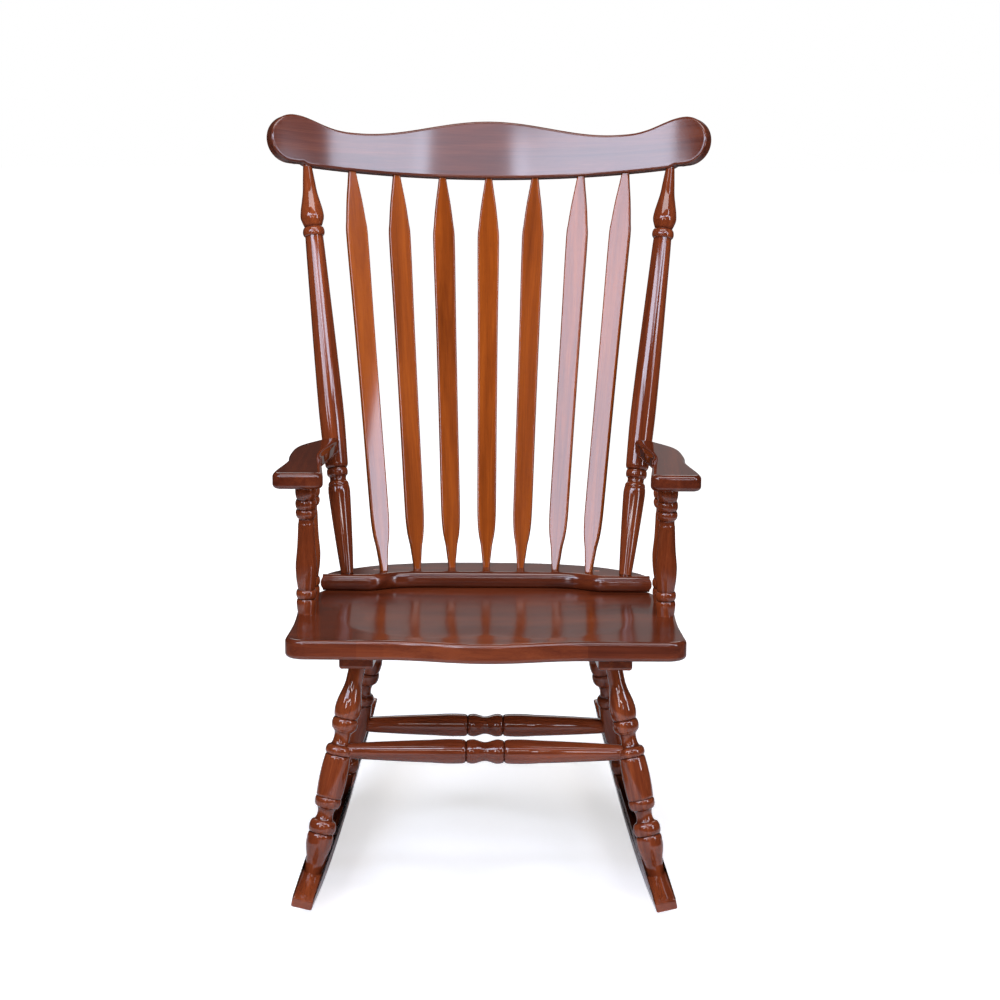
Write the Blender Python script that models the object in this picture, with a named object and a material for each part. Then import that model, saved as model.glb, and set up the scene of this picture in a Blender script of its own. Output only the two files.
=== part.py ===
"""Wooden rocking chair with an arrow-slat back, as separate glued and screwed pieces.

Metres, +Z up. X runs to the sitter's left and Y to the back. The design measures Y from the
seat's front edge and Z from the floor; the parent empty then centres the chair on the origin.
"""

import math

import bmesh
import bpy
from mathutils import Matrix, Vector

MM = 0.001
GAP = 0.3 * MM  # clearance between two pieces that meet
SLACK = 0.6 * MM  # extra radius of a hole whose peg has another number of sides
SIDES = 10  # sides of a turned piece
SCREW_SIDES = 8
LEFT_RIGHT = (("left", 1), ("right", -1))

# Rockers
FRONT_TIP_Y = -85 * MM
REAR_TIP_Y = 800 * MM
FOOTPRINT_MIDDLE_Y = 359.2 * MM  # halfway between the ends of the chair's box
ROCKER_WIDTH = 31.5 * MM
ROCKER_X = 274 * MM  # middle of the board, carried on to the floor at the seat's front edge
ROCKER_TOE = -0.050  # the rockers run closer together towards the back
ROCKER_CANT = -0.217  # and lean in with the legs, by this much for each unit of height
BALANCE_Y = 332 * MM  # where the chair's weight falls, and where the soles touch the floor
SOLE_CURVE = 0.365  # sole height per metre squared from the balance point
SOLE_TWIST = 0.235  # and per metre cubed, so the tail rises faster than the nose
SOLE_FACETS = 15

# Seat, in its own frame: origin at the top of the front edge, top face at 0
SEAT_HEIGHT = 431 * MM
SEAT_SLOPE = math.radians(2.0)
SEAT_THICKNESS = 29.5 * MM
SEAT_HALF_WIDTH = 296 * MM
SEAT_DEPTH = 515 * MM
SEAT_BOW = 24 * MM  # how far the front edge swells forward in the middle
SEAT_BOW_HALF_WIDTH = 150 * MM
SEAT_CORNER = 30 * MM
SEAT_EDGE = 6 * MM
HOLLOW_DEPTH = 6 * MM
HOLLOW_MIDDLE_Y = 215 * MM
HOLLOW_RADII = (270 * MM, 250 * MM)  # of the ellipsoid that carves it
DECK_THICKNESS = 26 * MM
DECK_NOSE = 8 * MM
DECK_END_X = 264 * MM
DECK_FRONT_Y = 387 * MM
DECK_MIDDLE_Y = 418 * MM

# Back: the slats and posts stand on one arc on the deck and meet the bent crest rail
BACK_ARC_RADIUS = 387 * MM
BACK_ARC_Y = 470 * MM
SLAT_FEET = (0, 55.6 * MM, 111.5 * MM, 164.8 * MM)
SLAT_HEADS = (0, 75 * MM, 149 * MM, 220 * MM)
SLAT_THICKNESS = 10.5 * MM
SLAT_BOW = 13 * MM
SLAT_TENON = 16 * MM
POST_FOOT_X = 222 * MM
POST_HEAD_X = 290 * MM
POST_TENON_RADIUS = 7 * MM
POST_FOOT_TENON = 16 * MM  # stops inside the deck, short of its rounded nose

# Crest rail, in its own frame: s along the bend, h up the board, d back through it
CREST_RADIUS = 700 * MM
CREST_RAKE = math.radians(16.0)
CREST_FRONT = Vector((0, 650 * MM, 1059.6 * MM))  # bottom middle of the front face
CREST_THICKNESS = 22 * MM
CREST_SAG = -5 * MM  # the lower edge at the middle
CREST_CROWN = 90 * MM
CREST_DIP = 62 * MM
CREST_DIP_S = 213 * MM
EAR_RADIUS = 39 * MM
EAR_S = 327.5 * MM
EAR_H = 44.5 * MM
EAR_RISE = 1.6  # how late the upper edge climbs from the dip to the ear
CREST_EDGE = 3.5 * MM

# Arms
ARM_TOP_FRONT = 654 * MM
ARM_THICKNESS = 25 * MM
ARM_FRONT_Y = 138 * MM
ARM_SLOPE = math.radians(0.2)
ARM_POSTS = (("front", 275 * MM, 205 * MM), ("rear", 276 * MM, 310 * MM))
ARM_TENON = 14 * MM

# Under the seat
CLEAT_WIDTH = 51 * MM
CLEAT_THICKNESS = 26 * MM
CLEAT_FRONT = Vector((193 * MM, 60 * MM))
CLEAT_REAR = Vector((170.5 * MM, 430 * MM))
LEG_TENON = 20 * MM
LEG_FOOT_TENON_RADIUS = 8 * MM
LEGS = {  # head (x, y) on the cleat's underside, foot (y, z) on the rocker's top
    "front": (Vector((192 * MM, 90 * MM)), Vector((45 * MM, 63 * MM))),
    "rear": (Vector((172 * MM, 395 * MM)), Vector((455 * MM, 48.5 * MM))),
}
STRETCHERS = {"front": 244.5 * MM, "rear": 187 * MM}  # height of each one
STRETCHER_TENON = 14 * MM

# Turned profiles: (distance, diameter). Legs and stretchers give the distance as a share.
LEG_PROFILE = (
    (0.00, 21.6), (0.10, 26), (0.212, 39.4), (0.25, 33), (0.283, 38.5), (0.315, 32), (0.35, 26),
    (0.388, 32), (0.41, 40), (0.434, 35.5), (0.456, 39), (0.53, 41), (0.622, 39), (0.64, 35),
    (0.665, 38.5), (0.69, 34), (0.715, 24.8), (0.75, 30.5), (0.78, 39.5), (0.812, 34),
    (0.835, 39.6), (0.88, 33), (0.92, 28.5), (0.985, 23.5), (1.0, 23.5),
)
STRETCHER_PROFILE = (  # from the middle outwards, in mm
    (0, 28.8), (15, 31), (22, 37.5), (28.7, 27), (33, 34), (41, 37.2), (80, 34), (130, 29),
)
BACK_POST_PROFILE = (  # from the foot up, in mm
    (0, 20), (60, 28), (131.6, 35), (143, 34), (149, 25), (155.7, 26), (162, 33.6), (170, 28),
    (178, 37), (236, 40), (284, 40), (364, 37.5), (445, 34), (525, 30.5), (549, 27), (555.5, 35.4),
    (562.7, 26), (570, 33), (579.5, 38), (592, 35.5), (605, 30), (621, 23.5), (640, 19.5), (663, 14),
)
ARM_POST_PROFILE = (  # from the arm down, in mm
    (0, 27), (15, 33), (26, 28), (35, 32.5), (42, 26), (49, 29), (57, 22.6), (64, 24.8), (97, 27.5),
    (113, 28.7), (129, 33), (165, 26), (175, 31.7), (181, 25), (189, 30), (205, 27),
)
# Slat width from the foot up: (share of the length, width in mm)
SLAT_WIDTHS = (
    (0, 11), (0.05, 18), (0.14, 30.5), (0.40, 31.5), (0.62, 33), (0.84, 35.5), (0.88, 32), (1, 12),
)

# Fasteners
PLUG_RADIUS = 5 * MM
PLUG_DEPTH = 6 * MM
SCREW_HEAD_RADIUS = 4 * MM
SCREW_HEAD = 4 * MM
SCREW_RADIUS = 2 * MM
SCREW_LENGTH = 40 * MM
ARM_SCREW_LENGTH = 62 * MM
CLEAT_SCREW_RADIUS = 3 * MM
CLEAT_SCREW_HEAD_RADIUS = 6 * MM
CLEAT_SCREW_LENGTH = 38 * MM
PIN_RADIUS = 3 * MM
DECK_PLUGS = {  # (x, y) in the seat's frame
    "left": Vector((178 * MM, 440 * MM)),
    "middle": Vector((0, 499 * MM)),
    "right": Vector((-178 * MM, 440 * MM)),
}

SEAT_FRAME = Matrix.Translation((0, 0, SEAT_HEIGHT)) @ Matrix.Rotation(-SEAT_SLOPE, 4, "X")

cutters = {}  # the cutting mesh of each host piece


# Materials -------------------------------------------------------------------------------

def wood(name, colour, roughness):
    material = bpy.data.materials.new(name)
    material.use_nodes = True
    shader = material.node_tree.nodes["Principled BSDF"]
    shader.inputs["Base Color"].default_value = (*colour, 1)
    shader.inputs["Roughness"].default_value = roughness
    shader.inputs["Metallic"].default_value = 0
    return material


def steel(name):
    material = wood(name, (0.55, 0.55, 0.56), 0.35)
    material.node_tree.nodes["Principled BSDF"].inputs["Metallic"].default_value = 1
    return material


# Mesh helpers ----------------------------------------------------------------------------

def add_object(name, bm, material, frame=None):
    """Makes an object of a bmesh, places it by frame and parents it to the chair."""
    bmesh.ops.recalc_face_normals(bm, faces=bm.faces)
    mesh = bpy.data.meshes.new(name)
    bm.to_mesh(mesh)
    bm.free()
    mesh.materials.append(material)
    mesh.shade_smooth()
    mesh.set_sharp_from_angle(angle=math.radians(35))
    obj = bpy.data.objects.new(name, mesh)
    bpy.context.scene.collection.objects.link(obj)
    obj.parent = chair
    obj.matrix_local = frame or Matrix.Identity(4)
    return obj


def smooth(points, steps):
    """Points on a Catmull-Rom curve through the given ones, steps to each stretch."""
    ends = [points[0] * 2 - points[1], *points, points[-1] * 2 - points[-2]]
    curve = []
    for a, b, c, d in zip(ends, ends[1:], ends[2:], ends[3:]):
        for step in range(steps):
            t = step / steps
            curve.append(0.5 * (
                2 * b + (c - a) * t + (2 * a - 5 * b + 4 * c - d) * t ** 2
                + (3 * b - a - 3 * c + d) * t ** 3
            ))
    return [*curve, points[-1]]


def arc(centre, radius, start, end, steps):
    """Points on an arc, from the start angle to the end angle in degrees."""
    angles = [math.radians(start + (end - start) * k / steps) for k in range(steps + 1)]
    return [centre + radius * Vector((math.cos(a), math.sin(a))) for a in angles]


def mirrored(half):
    """Closes an outline that runs from the middle of the front to the middle of the back."""
    other = [Vector((-p.x, p.y)) for p in reversed(half) if abs(p.x) > 1e-6]
    return [*half, *other]


def inset(outline, distance):
    """The outline, counter-clockwise, moved inwards by the distance."""
    moved = []
    for index, point in enumerate(outline):
        before = (point - outline[index - 1]).normalized()
        after = (outline[(index + 1) % len(outline)] - point).normalized()
        normal = Vector((-before.y - after.y, before.x + after.x)).normalized()
        stretch = 1 / max(0.6, math.sqrt((1 + before.dot(after)) / 2))
        moved.append(point + normal * distance * stretch)
    return moved


def skin(rings):
    """A closed bmesh over rings of points, with a flat cap on the first and the last."""
    bm = bmesh.new()
    made = [[bm.verts.new(point) for point in ring] for ring in rings]
    for low, high in zip(made, made[1:]):
        for index in range(len(low)):
            after = (index + 1) % len(low)
            bm.faces.new((low[index], low[after], high[after], high[index]))
    bm.faces.new(made[0][::-1])
    bm.faces.new(made[-1])
    return bm


def slab(outline, levels, place=lambda p, z: Vector((p.x, p.y, z))):
    """A board over the outline; levels are (inset, height) pairs from the bottom up."""
    return skin([[place(p, z) for p in inset(outline, depth)] for depth, z in levels])


def rounded_levels(bottom, top, edge, steps=2, depth=None):
    """Levels of a board whose lower and upper edges are rounded."""
    depth = depth or edge
    turns = [math.pi / 2 * k / steps for k in range(steps + 1)]
    low = [(depth * (1 - math.sin(a)), bottom + edge * (1 - math.cos(a))) for a in turns]
    high = [(inward, top + bottom - z) for inward, z in reversed(low)]
    return low + (high[1:] if math.isclose(low[-1][1], high[0][1]) else high)


def revolve(profile, sides=SIDES):
    """Turns (distance, radius) pairs about +Z into a closed solid."""
    bm = bmesh.new()
    points = [(0, profile[0][0]), *((r, z) for z, r in profile), (0, profile[-1][0])]
    line = [bm.verts.new((r, 0, z)) for r, z in points]
    edges = [bm.edges.new(pair) for pair in zip(line, line[1:])]
    bmesh.ops.spin(
        bm, geom=line + edges, cent=(0, 0, 0), axis=(0, 0, 1), angle=math.tau, steps=sides,
        use_merge=True,
    )
    bmesh.ops.remove_doubles(bm, verts=bm.verts, dist=1e-6)
    bmesh.ops.recalc_face_normals(bm, faces=bm.faces)
    return bm


def along(start, end):
    """The frame whose origin is at start and whose +Z points to end."""
    return Matrix.Translation(start) @ (end - start).to_track_quat("Z", "Y").to_matrix().to_4x4()


def cut(host, bm, frame):
    """Adds a closed shape to what is cut out of the host piece."""
    bm.transform(frame)
    shape = bpy.data.meshes.new("cut")
    bm.to_mesh(shape)
    bm.free()
    cutters.setdefault(host, bmesh.new()).from_mesh(shape)
    bpy.data.meshes.remove(shape)


def cut_peg_hole(host, frame, profile, clearance=GAP, sides=SIDES):
    """Cuts a peg's own profile from the host, larger all round; the last point is its tip."""
    grown = [(z, r + clearance) for z, r in profile[:-1]]
    tip, radius = profile[-1]
    cut(host, revolve([*grown, (tip + GAP, radius + clearance)], sides), frame)


def apply_cutters(pieces):
    for host, bm in cutters.items():
        cutter = add_object(host + "_cutter", bm, pieces[host].data.materials[0])
        cutter.hide_render = True
        cutter.display_type = "WIRE"
        boolean = pieces[host].modifiers.new("joints", "BOOLEAN")
        boolean.operation = "DIFFERENCE"
        boolean.solver = "EXACT"
        boolean.use_self = True  # the holes of one piece may cross each other
        boolean.object = cutter


# Places that several pieces share ------------------------------------------------------------

def on_seat(x, y, height=0.0):
    """A point over the seat board, at a height over its top face."""
    return SEAT_FRAME @ Vector((x, y, height))


def mirror_x(point, sign):
    return Vector((sign * point.x, *point[1:]))


def crest_point(s, h, d):
    turn = s / CREST_RADIUS
    rearward = Vector((0, math.cos(CREST_RAKE), -math.sin(CREST_RAKE)))
    upward = Vector((0, math.sin(CREST_RAKE), math.cos(CREST_RAKE)))
    reach = (CREST_RADIUS + d) * math.cos(turn) - CREST_RADIUS
    across = Vector(((CREST_RADIUS + d) * math.sin(turn), 0, 0))
    return CREST_FRONT + across + rearward * reach + upward * h


def crest_bottom(s):
    """Height of the crest rail's lower edge, which lifts gently towards the ears."""
    return CREST_SAG + 0.07 * s ** 2


def crest_seat(x):
    """Where a slat or a post meets the crest rail's lower edge, in the board's thickness."""
    s = CREST_RADIUS * math.asin(x / CREST_RADIUS)
    return crest_point(s, crest_bottom(s), CREST_THICKNESS / 2)


def back_arc_y(x):
    centre = BACK_ARC_Y - BACK_ARC_RADIUS
    return centre + math.sqrt(BACK_ARC_RADIUS ** 2 - x ** 2)


def cleat_x(y):
    share = (y - CLEAT_FRONT.y) / (CLEAT_REAR.y - CLEAT_FRONT.y)
    return CLEAT_FRONT.x + share * (CLEAT_REAR.x - CLEAT_FRONT.x)


def rocker_point(y, z, through=0.0):
    """A point of the left rocker: its middle plane at (y, z), then out through the board."""
    outward = Vector((1, -ROCKER_TOE, -ROCKER_CANT)).normalized()
    return Vector((ROCKER_X + ROCKER_TOE * y + ROCKER_CANT * z, y, z)) + outward * through


def sole(y):
    t = y - BALANCE_Y
    return SOLE_CURVE * t ** 2 + SOLE_TWIST * t ** 3


def leg_ends(which, sign):
    head, foot = LEGS[which]
    underside = -SEAT_THICKNESS - GAP - CLEAT_THICKNESS
    foot = rocker_point(foot.x, foot.y)
    return mirror_x(on_seat(head.x, head.y, underside), sign), mirror_x(foot, sign)


def post_axis(sign):
    foot = on_seat(POST_FOOT_X, back_arc_y(POST_FOOT_X), DECK_THICKNESS + GAP)
    return mirror_x(foot, sign), mirror_x(crest_seat(POST_HEAD_X), sign)


# Seat and deck ----------------------------------------------------------------------------

def seat_rear():
    """The rear half of the seat's outline, from the side to the middle of the back."""
    return smooth([
        Vector((294 * MM, 297 * MM)), Vector((274 * MM, 366 * MM)), Vector((259 * MM, 404 * MM)),
        Vector((244 * MM, 430 * MM)), Vector((217 * MM, 455 * MM)), Vector((170 * MM, 487 * MM)),
        Vector((90 * MM, 510 * MM)), Vector((0, SEAT_DEPTH)),
    ], 2)


def seat_outline():
    steps = 8
    front = []
    for k in range(steps):
        x = SEAT_BOW_HALF_WIDTH * k / (steps - 1)
        swell = (1 + math.cos(math.pi * x / SEAT_BOW_HALF_WIDTH)) / 2
        front.append(Vector((x, -SEAT_BOW * swell)))
    centre = Vector((SEAT_HALF_WIDTH - SEAT_CORNER, SEAT_CORNER))
    corner = arc(centre, SEAT_CORNER, -90, 0, 4)
    side = smooth([
        corner[-1], Vector((291 * MM, 134 * MM)), Vector((291 * MM, 228 * MM)), seat_rear()[0],
    ], 2)
    return mirrored([*front, *corner, *side[1:], *seat_rear()[1:]])


def build_seat():
    levels = rounded_levels(-SEAT_THICKNESS, 0, SEAT_EDGE)
    seat = add_object("seat", slab(seat_outline(), levels), SEAT_WOOD, SEAT_FRAME)
    hollow = bmesh.new()
    bmesh.ops.create_uvsphere(hollow, u_segments=16, v_segments=10, radius=1)
    size = Matrix.Diagonal((*HOLLOW_RADII, 3 * HOLLOW_DEPTH, 1))
    centre = Matrix.Translation((0, HOLLOW_MIDDLE_Y, 2 * HOLLOW_DEPTH))
    cut("seat", hollow, SEAT_FRAME @ centre @ size)
    return seat


def build_deck():
    front = smooth([
        Vector((-DECK_END_X, DECK_FRONT_Y)), Vector((-215 * MM, DECK_FRONT_Y)),
        Vector((-178 * MM, DECK_FRONT_Y + 2 * MM)), Vector((-140 * MM, DECK_MIDDLE_Y - 6 * MM)),
        Vector((-90 * MM, DECK_MIDDLE_Y)), Vector((0, DECK_MIDDLE_Y)),
    ], 2)
    front = [*front, *[Vector((-p.x, p.y)) for p in reversed(front[:-1])]]
    rear = [p for p in seat_rear() if p.y > DECK_FRONT_Y + 12 * MM]
    rear = [*rear, *[Vector((-p.x, p.y)) for p in reversed(rear[:-1])]]
    levels = rounded_levels(GAP, GAP + DECK_THICKNESS, DECK_THICKNESS / 2, depth=DECK_NOSE)
    return add_object("seat_deck", slab([*front, *rear], levels), SEAT_WOOD, SEAT_FRAME)


# Back ---------------------------------------------------------------------------------------

def slat_ring(centre, across, through, width, thickness):
    """Eight points of a slat's section, with its corners taken off."""
    corner = 0.29 * min(width, thickness)
    half_w = width / 2
    half_t = thickness / 2
    corners = (
        (half_w, half_t - corner), (half_w - corner, half_t),
        (corner - half_w, half_t), (-half_w, half_t - corner),
        (-half_w, corner - half_t), (corner - half_w, -half_t),
        (half_w - corner, -half_t), (half_w, corner - half_t),
    )
    return [centre + across * a + through * b for a, b in corners]


def build_slat(name, foot_x, head_x):
    foot = on_seat(foot_x, back_arc_y(foot_x), DECK_THICKNESS + GAP)
    head = crest_seat(head_x)
    foot_turn = math.asin(foot_x / BACK_ARC_RADIUS)
    head_turn = math.asin(head_x / CREST_RADIUS)
    chord = head - foot
    rearward = Vector((0, chord.z, -chord.y)).normalized()

    def slope(t):
        return (chord + rearward * SLAT_BOW * 4 * (1 - 2 * t)).normalized()

    def ring(t, beyond=0.0):
        centre = foot + chord * t + rearward * SLAT_BOW * 4 * t * (1 - t) + slope(t) * beyond
        turn = foot_turn + (head_turn - foot_turn) * t
        across = Vector((math.cos(turn), -math.sin(turn), 0))
        across = (across - slope(t) * across.dot(slope(t))).normalized()
        width = next(
            w0 + (w1 - w0) * (t - t0) / (t1 - t0)
            for (t0, w0), (t1, w1) in zip(SLAT_WIDTHS, SLAT_WIDTHS[1:]) if t <= t1
        )
        return slat_ring(centre, across, across.cross(slope(t)), width * MM, SLAT_THICKNESS)

    stations = (0.0, 0.05, 0.14, 0.30, 0.45, 0.62, 0.75, 0.84, 0.88, 1.0)
    rings = [ring(0, -SLAT_TENON), *[ring(t) for t in stations], ring(1, SLAT_TENON)]
    slat = add_object(name, skin(rings), SLAT_WOOD)
    radius = 6 * MM + SLACK
    for host, end, away in (("seat_deck", foot, -slope(0)), ("crest_rail", head, slope(1))):
        frame = along(end, end + away)
        cut_peg_hole(host, frame, ((-8 * MM, radius), (SLAT_TENON, radius)))
    return slat


def build_back_post(side, sign):
    foot, head = post_axis(sign)
    length = (head - foot).length
    frame = along(foot, head)
    scale = length / (BACK_POST_PROFILE[-1][0] * MM)
    turned = [(z * MM * scale, d / 2 * MM) for z, d in BACK_POST_PROFILE]
    lower = [(-POST_FOOT_TENON, POST_TENON_RADIUS), (0, POST_TENON_RADIUS)]
    upper = [(length, POST_TENON_RADIUS), (length + 20 * MM, POST_TENON_RADIUS)]
    body = revolve([*lower, *turned[:-1], *upper])
    post = add_object("back_post_" + side, body, POST_WOOD, frame)
    shoulder = turned[0][1]
    downward = along(foot, foot * 2 - head)
    lower_peg = ((-6 * MM, shoulder), (GAP, shoulder), (GAP, POST_TENON_RADIUS))
    cut_peg_hole("seat_deck", downward, (*lower_peg, (POST_FOOT_TENON, POST_TENON_RADIUS)), SLACK)
    cut_peg_hole("crest_rail", frame, (
        (length - 8 * MM, POST_TENON_RADIUS), (length + 20 * MM, POST_TENON_RADIUS),
    ))
    near_arm = [(z, r) for z, r in turned if 120 * MM < z < 300 * MM]
    cut_peg_hole("arm_" + side, frame, near_arm)
    return post


def crest_edges():
    """(s, lower h, upper h) of the rail's outline, from its middle to the tip of its ear."""
    stations = []
    for s in (0, 45 * MM, 90 * MM, 135 * MM, 175 * MM, CREST_DIP_S, 245 * MM, 268 * MM, 289 * MM):
        if s <= CREST_DIP_S:
            rise = (1 + math.cos(math.pi * s / CREST_DIP_S)) / 2 * (CREST_CROWN - CREST_DIP)
        else:
            share = (s - CREST_DIP_S) / (EAR_S - CREST_DIP_S)
            lift = ((1 - math.cos(math.pi * share)) / 2) ** EAR_RISE
            rise = lift * (EAR_H + EAR_RADIUS - CREST_DIP)
        stations.append((s, crest_bottom(s), CREST_DIP + rise))
    for degrees in (112, 90, 68, 45, 22, 0):
        turn = math.radians(degrees)
        s = EAR_S + EAR_RADIUS * math.cos(turn)
        upper = EAR_H + EAR_RADIUS * math.sin(turn)
        lower = 2 * EAR_H - upper
        stations.append((s, lower, upper))
    return stations


def build_crest():
    """The bent board: its faces are ladders of quads between the lower and the upper edge."""
    half = crest_edges()
    whole = [*[(-s, low, high) for s, low, high in reversed(half[1:])], *half]
    last = len(whole) - 1
    lower = [Vector((s, low)) for s, low, high in whole]
    upper = [Vector((s, high)) for s, low, high in whole[1:last]]
    outline = [*lower, *reversed(upper)]
    bm = bmesh.new()
    levels = rounded_levels(0, CREST_THICKNESS, CREST_EDGE, steps=1)
    rings = [[bm.verts.new(crest_point(p.x, p.y, d)) for p in inset(outline, depth)]
             for depth, d in levels]
    count = len(outline)
    for low, high in zip(rings, rings[1:]):
        for index in range(count):
            after = (index + 1) % count
            bm.faces.new((low[index], low[after], high[after], high[index]))
    for ring in (rings[0], rings[-1]):
        for index in range(last):
            corners = (index, index + 1, (count - index - 1) % count, (count - index) % count)
            bm.faces.new([ring[k] for k in dict.fromkeys(corners)])
    return add_object("crest_rail", bm, CREST_WOOD)


# Arms ---------------------------------------------------------------------------------------

def build_arm(side, sign):
    outer = smooth([
        Vector((322 * MM, 152 * MM)), Vector((319 * MM, 179 * MM)), Vector((306.6 * MM, 256 * MM)),
        Vector((306.8 * MM, 315 * MM)), Vector((298 * MM, 381 * MM)), Vector((262 * MM, 446 * MM)),
    ], 3)
    inner = smooth([
        Vector((236 * MM, 452 * MM)), Vector((246 * MM, 380 * MM)), Vector((257 * MM, 300 * MM)),
        Vector((251 * MM, 215 * MM)), Vector((246 * MM, 152 * MM)),
    ], 3)
    front = [
        *arc(Vector((260 * MM, 152 * MM)), 14 * MM, 180, 262, 3),
        *arc(Vector((308 * MM, 152 * MM)), 14 * MM, 278, 360, 3),
    ]
    outline = [*inner[:-1], *front, *outer[1:]]
    levels = rounded_levels(-ARM_THICKNESS, 0, 7 * MM)
    bm = slab(outline, levels)
    bm.transform(Matrix.Diagonal((sign, 1, 1, 1)))
    return add_object("arm_" + side, bm, ARM_WOOD, arm_frame())


def arm_frame():
    return Matrix.Translation((0, ARM_FRONT_Y, ARM_TOP_FRONT)) @ Matrix.Rotation(
        ARM_SLOPE, 4, "X") @ Matrix.Translation((0, -ARM_FRONT_Y, 0))


def build_arm_post(side, sign, which, x, y):
    head = mirror_x(arm_frame() @ Vector((x, y, -ARM_THICKNESS)), sign)
    foot = Vector((head.x, head.y, on_seat(x, y).z))
    frame = along(head, foot)
    length = (head - foot).length
    scale = length / (ARM_POST_PROFILE[-1][0] * MM)
    turned = [(z * MM * scale, d / 2 * MM) for z, d in ARM_POST_PROFILE]
    tenon = 8 * MM
    upper = [(-ARM_TENON, tenon), (0, tenon)]
    lower = [(length, tenon), (length + 18 * MM, tenon)]
    name = f"arm_post_{which}_{side}"
    post = add_object(name, revolve([*upper, *turned, *lower]), POST_WOOD, frame)
    shoulder = turned[0][1]
    upward = along(head, head * 2 - foot)
    cut_peg_hole("arm_" + side, upward, (
        (-4 * MM, shoulder), (GAP, shoulder), (GAP, tenon), (ARM_TENON, tenon),
    ), SLACK)
    cut_peg_hole("seat", frame, (
        (length - 4 * MM, turned[-1][1]), (length + GAP, turned[-1][1]), (length + GAP, tenon),
        (length + 18 * MM, tenon),
    ))
    return post


# Base ---------------------------------------------------------------------------------------

def build_cleat(side, sign):
    run = CLEAT_REAR - CLEAT_FRONT
    half = Vector((CLEAT_WIDTH / 2, 0))
    end = 4 * MM
    rear = CLEAT_FRONT + run * (1 - end / run.length)
    front = CLEAT_FRONT + run * (end / run.length)
    outline = [CLEAT_FRONT - half * 0.85, CLEAT_FRONT + half * 0.85, front + half, rear + half,
               CLEAT_REAR + half * 0.85, CLEAT_REAR - half * 0.85, rear - half, front - half]
    top = -SEAT_THICKNESS - GAP
    bottom = top - CLEAT_THICKNESS
    bm = slab(outline, [(6 * MM, bottom), (2 * MM, bottom + 2 * MM), (0, bottom + 6 * MM), (0, top)])
    bm.transform(Matrix.Diagonal((sign, 1, 1, 1)))
    return add_object("cleat_" + side, bm, BASE_WOOD, SEAT_FRAME)


def build_leg(side, sign, which):
    head, foot = leg_ends(which, sign)
    frame = along(head, foot)
    length = (foot - head).length
    turned = [(share * length, d / 2 * MM) for share, d in LEG_PROFILE]
    sunk = length + 2.5 * MM  # the foot's shoulder is let into the rocker
    neck = turned[0][1]
    ankle = turned[-1][1]
    lower = [(sunk, ankle), (sunk, LEG_FOOT_TENON_RADIUS), (sunk + 16 * MM, LEG_FOOT_TENON_RADIUS)]
    profile = [(-LEG_TENON, neck), *turned, *lower]
    leg = add_object(f"leg_{which}_{side}", revolve(profile), BASE_WOOD, frame)
    upward = along(head, head * 2 - foot)
    cut_peg_hole("cleat_" + side, upward, ((-6 * MM, neck), (LEG_TENON, neck)), SLACK)
    cut_peg_hole("rocker_" + side, frame, (
        (length - 8 * MM, ankle), (sunk + GAP, ankle), (sunk + GAP, LEG_FOOT_TENON_RADIUS),
        lower[-1],
    ))
    return leg


def build_stretcher(which):
    height = STRETCHERS[which]
    head, foot = leg_ends(which, 1)
    joint = head + (foot - head) * (head.z - height) / (head.z - foot.z)
    reach = joint.x - 17 * MM  # the end is let a little way into the leg
    neck = 11 * MM
    tenon = 7 * MM
    half = [(x * MM, d / 2 * MM) for x, d in STRETCHER_PROFILE]
    straight = reach - 10 * MM
    half = [*half, (straight, neck), (reach, neck), (reach, tenon), (reach + STRETCHER_TENON, tenon)]
    profile = [(-x, r) for x, r in reversed(half[1:])] + half
    frame = along(Vector((0, joint.y, height)), Vector((1, joint.y, height)))
    stretcher = add_object("stretcher_" + which, revolve(profile), BASE_WOOD, frame)
    for side, sign in LEFT_RIGHT:
        outward = along(Vector((0, joint.y, height)), Vector((sign, joint.y, height)))
        cut_peg_hole(f"leg_{which}_{side}", outward, (
            (reach - 20 * MM, neck), (reach + GAP, neck), (reach + GAP, tenon),
            (reach + STRETCHER_TENON, tenon),
        ), SLACK)
    return stretcher


def rocker_outline(through):
    """The board's (y, z) outline, through its thickness; z is taken on the middle plane."""
    step = 60 * MM
    reach = SOLE_FACETS // 2 + 1
    knots = [BALANCE_Y + step * (k + 0.5) for k in range(-reach - 1, reach + 1)]
    knots = [y for y in knots if FRONT_TIP_Y + 20 * MM < y < REAR_TIP_Y - 20 * MM]
    touch = sole(BALANCE_Y + step / 2)  # the middle facet lies on the floor
    lean = -ROCKER_CANT / math.hypot(1, ROCKER_TOE, ROCKER_CANT)
    under = []
    for y in (FRONT_TIP_Y, *knots, REAR_TIP_Y):
        away = max(0, abs(y - BALANCE_Y) - step / 2) / (REAR_TIP_Y - BALANCE_Y)
        square = min(1, 1.3 * away)  # planed level in the middle, square to the board at the tips
        level = ROCKER_WIDTH / 2 * square - through * (1 - square)
        under.append(Vector((y, sole(y) - touch + lean * level)))
    over = smooth([
        Vector((REAR_TIP_Y, 128 * MM)), Vector((REAR_TIP_Y - 10 * MM, 131 * MM)),
        Vector((640 * MM, 78 * MM)), Vector((455 * MM, 48.5 * MM)), Vector((345 * MM, 45 * MM)),
        Vector((200 * MM, 51 * MM)), Vector((45 * MM, 63 * MM)), Vector((-20 * MM, 64 * MM)),
        Vector((FRONT_TIP_Y + 6 * MM, 63.5 * MM)), Vector((FRONT_TIP_Y, 61 * MM)),
    ], 2)
    return [*under, *over]


def build_rocker(side, sign):
    half = ROCKER_WIDTH / 2
    edge = 2.5 * MM
    rings = []
    for depth, through in ((edge, -half), (0, edge - half), (0, half - edge), (edge, half)):
        outline = inset(rocker_outline(through), depth)
        rings.append([mirror_x(rocker_point(p.x, p.y, through), sign) for p in outline])
    return add_object("rocker_" + side, skin(rings), BASE_WOOD)


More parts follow.
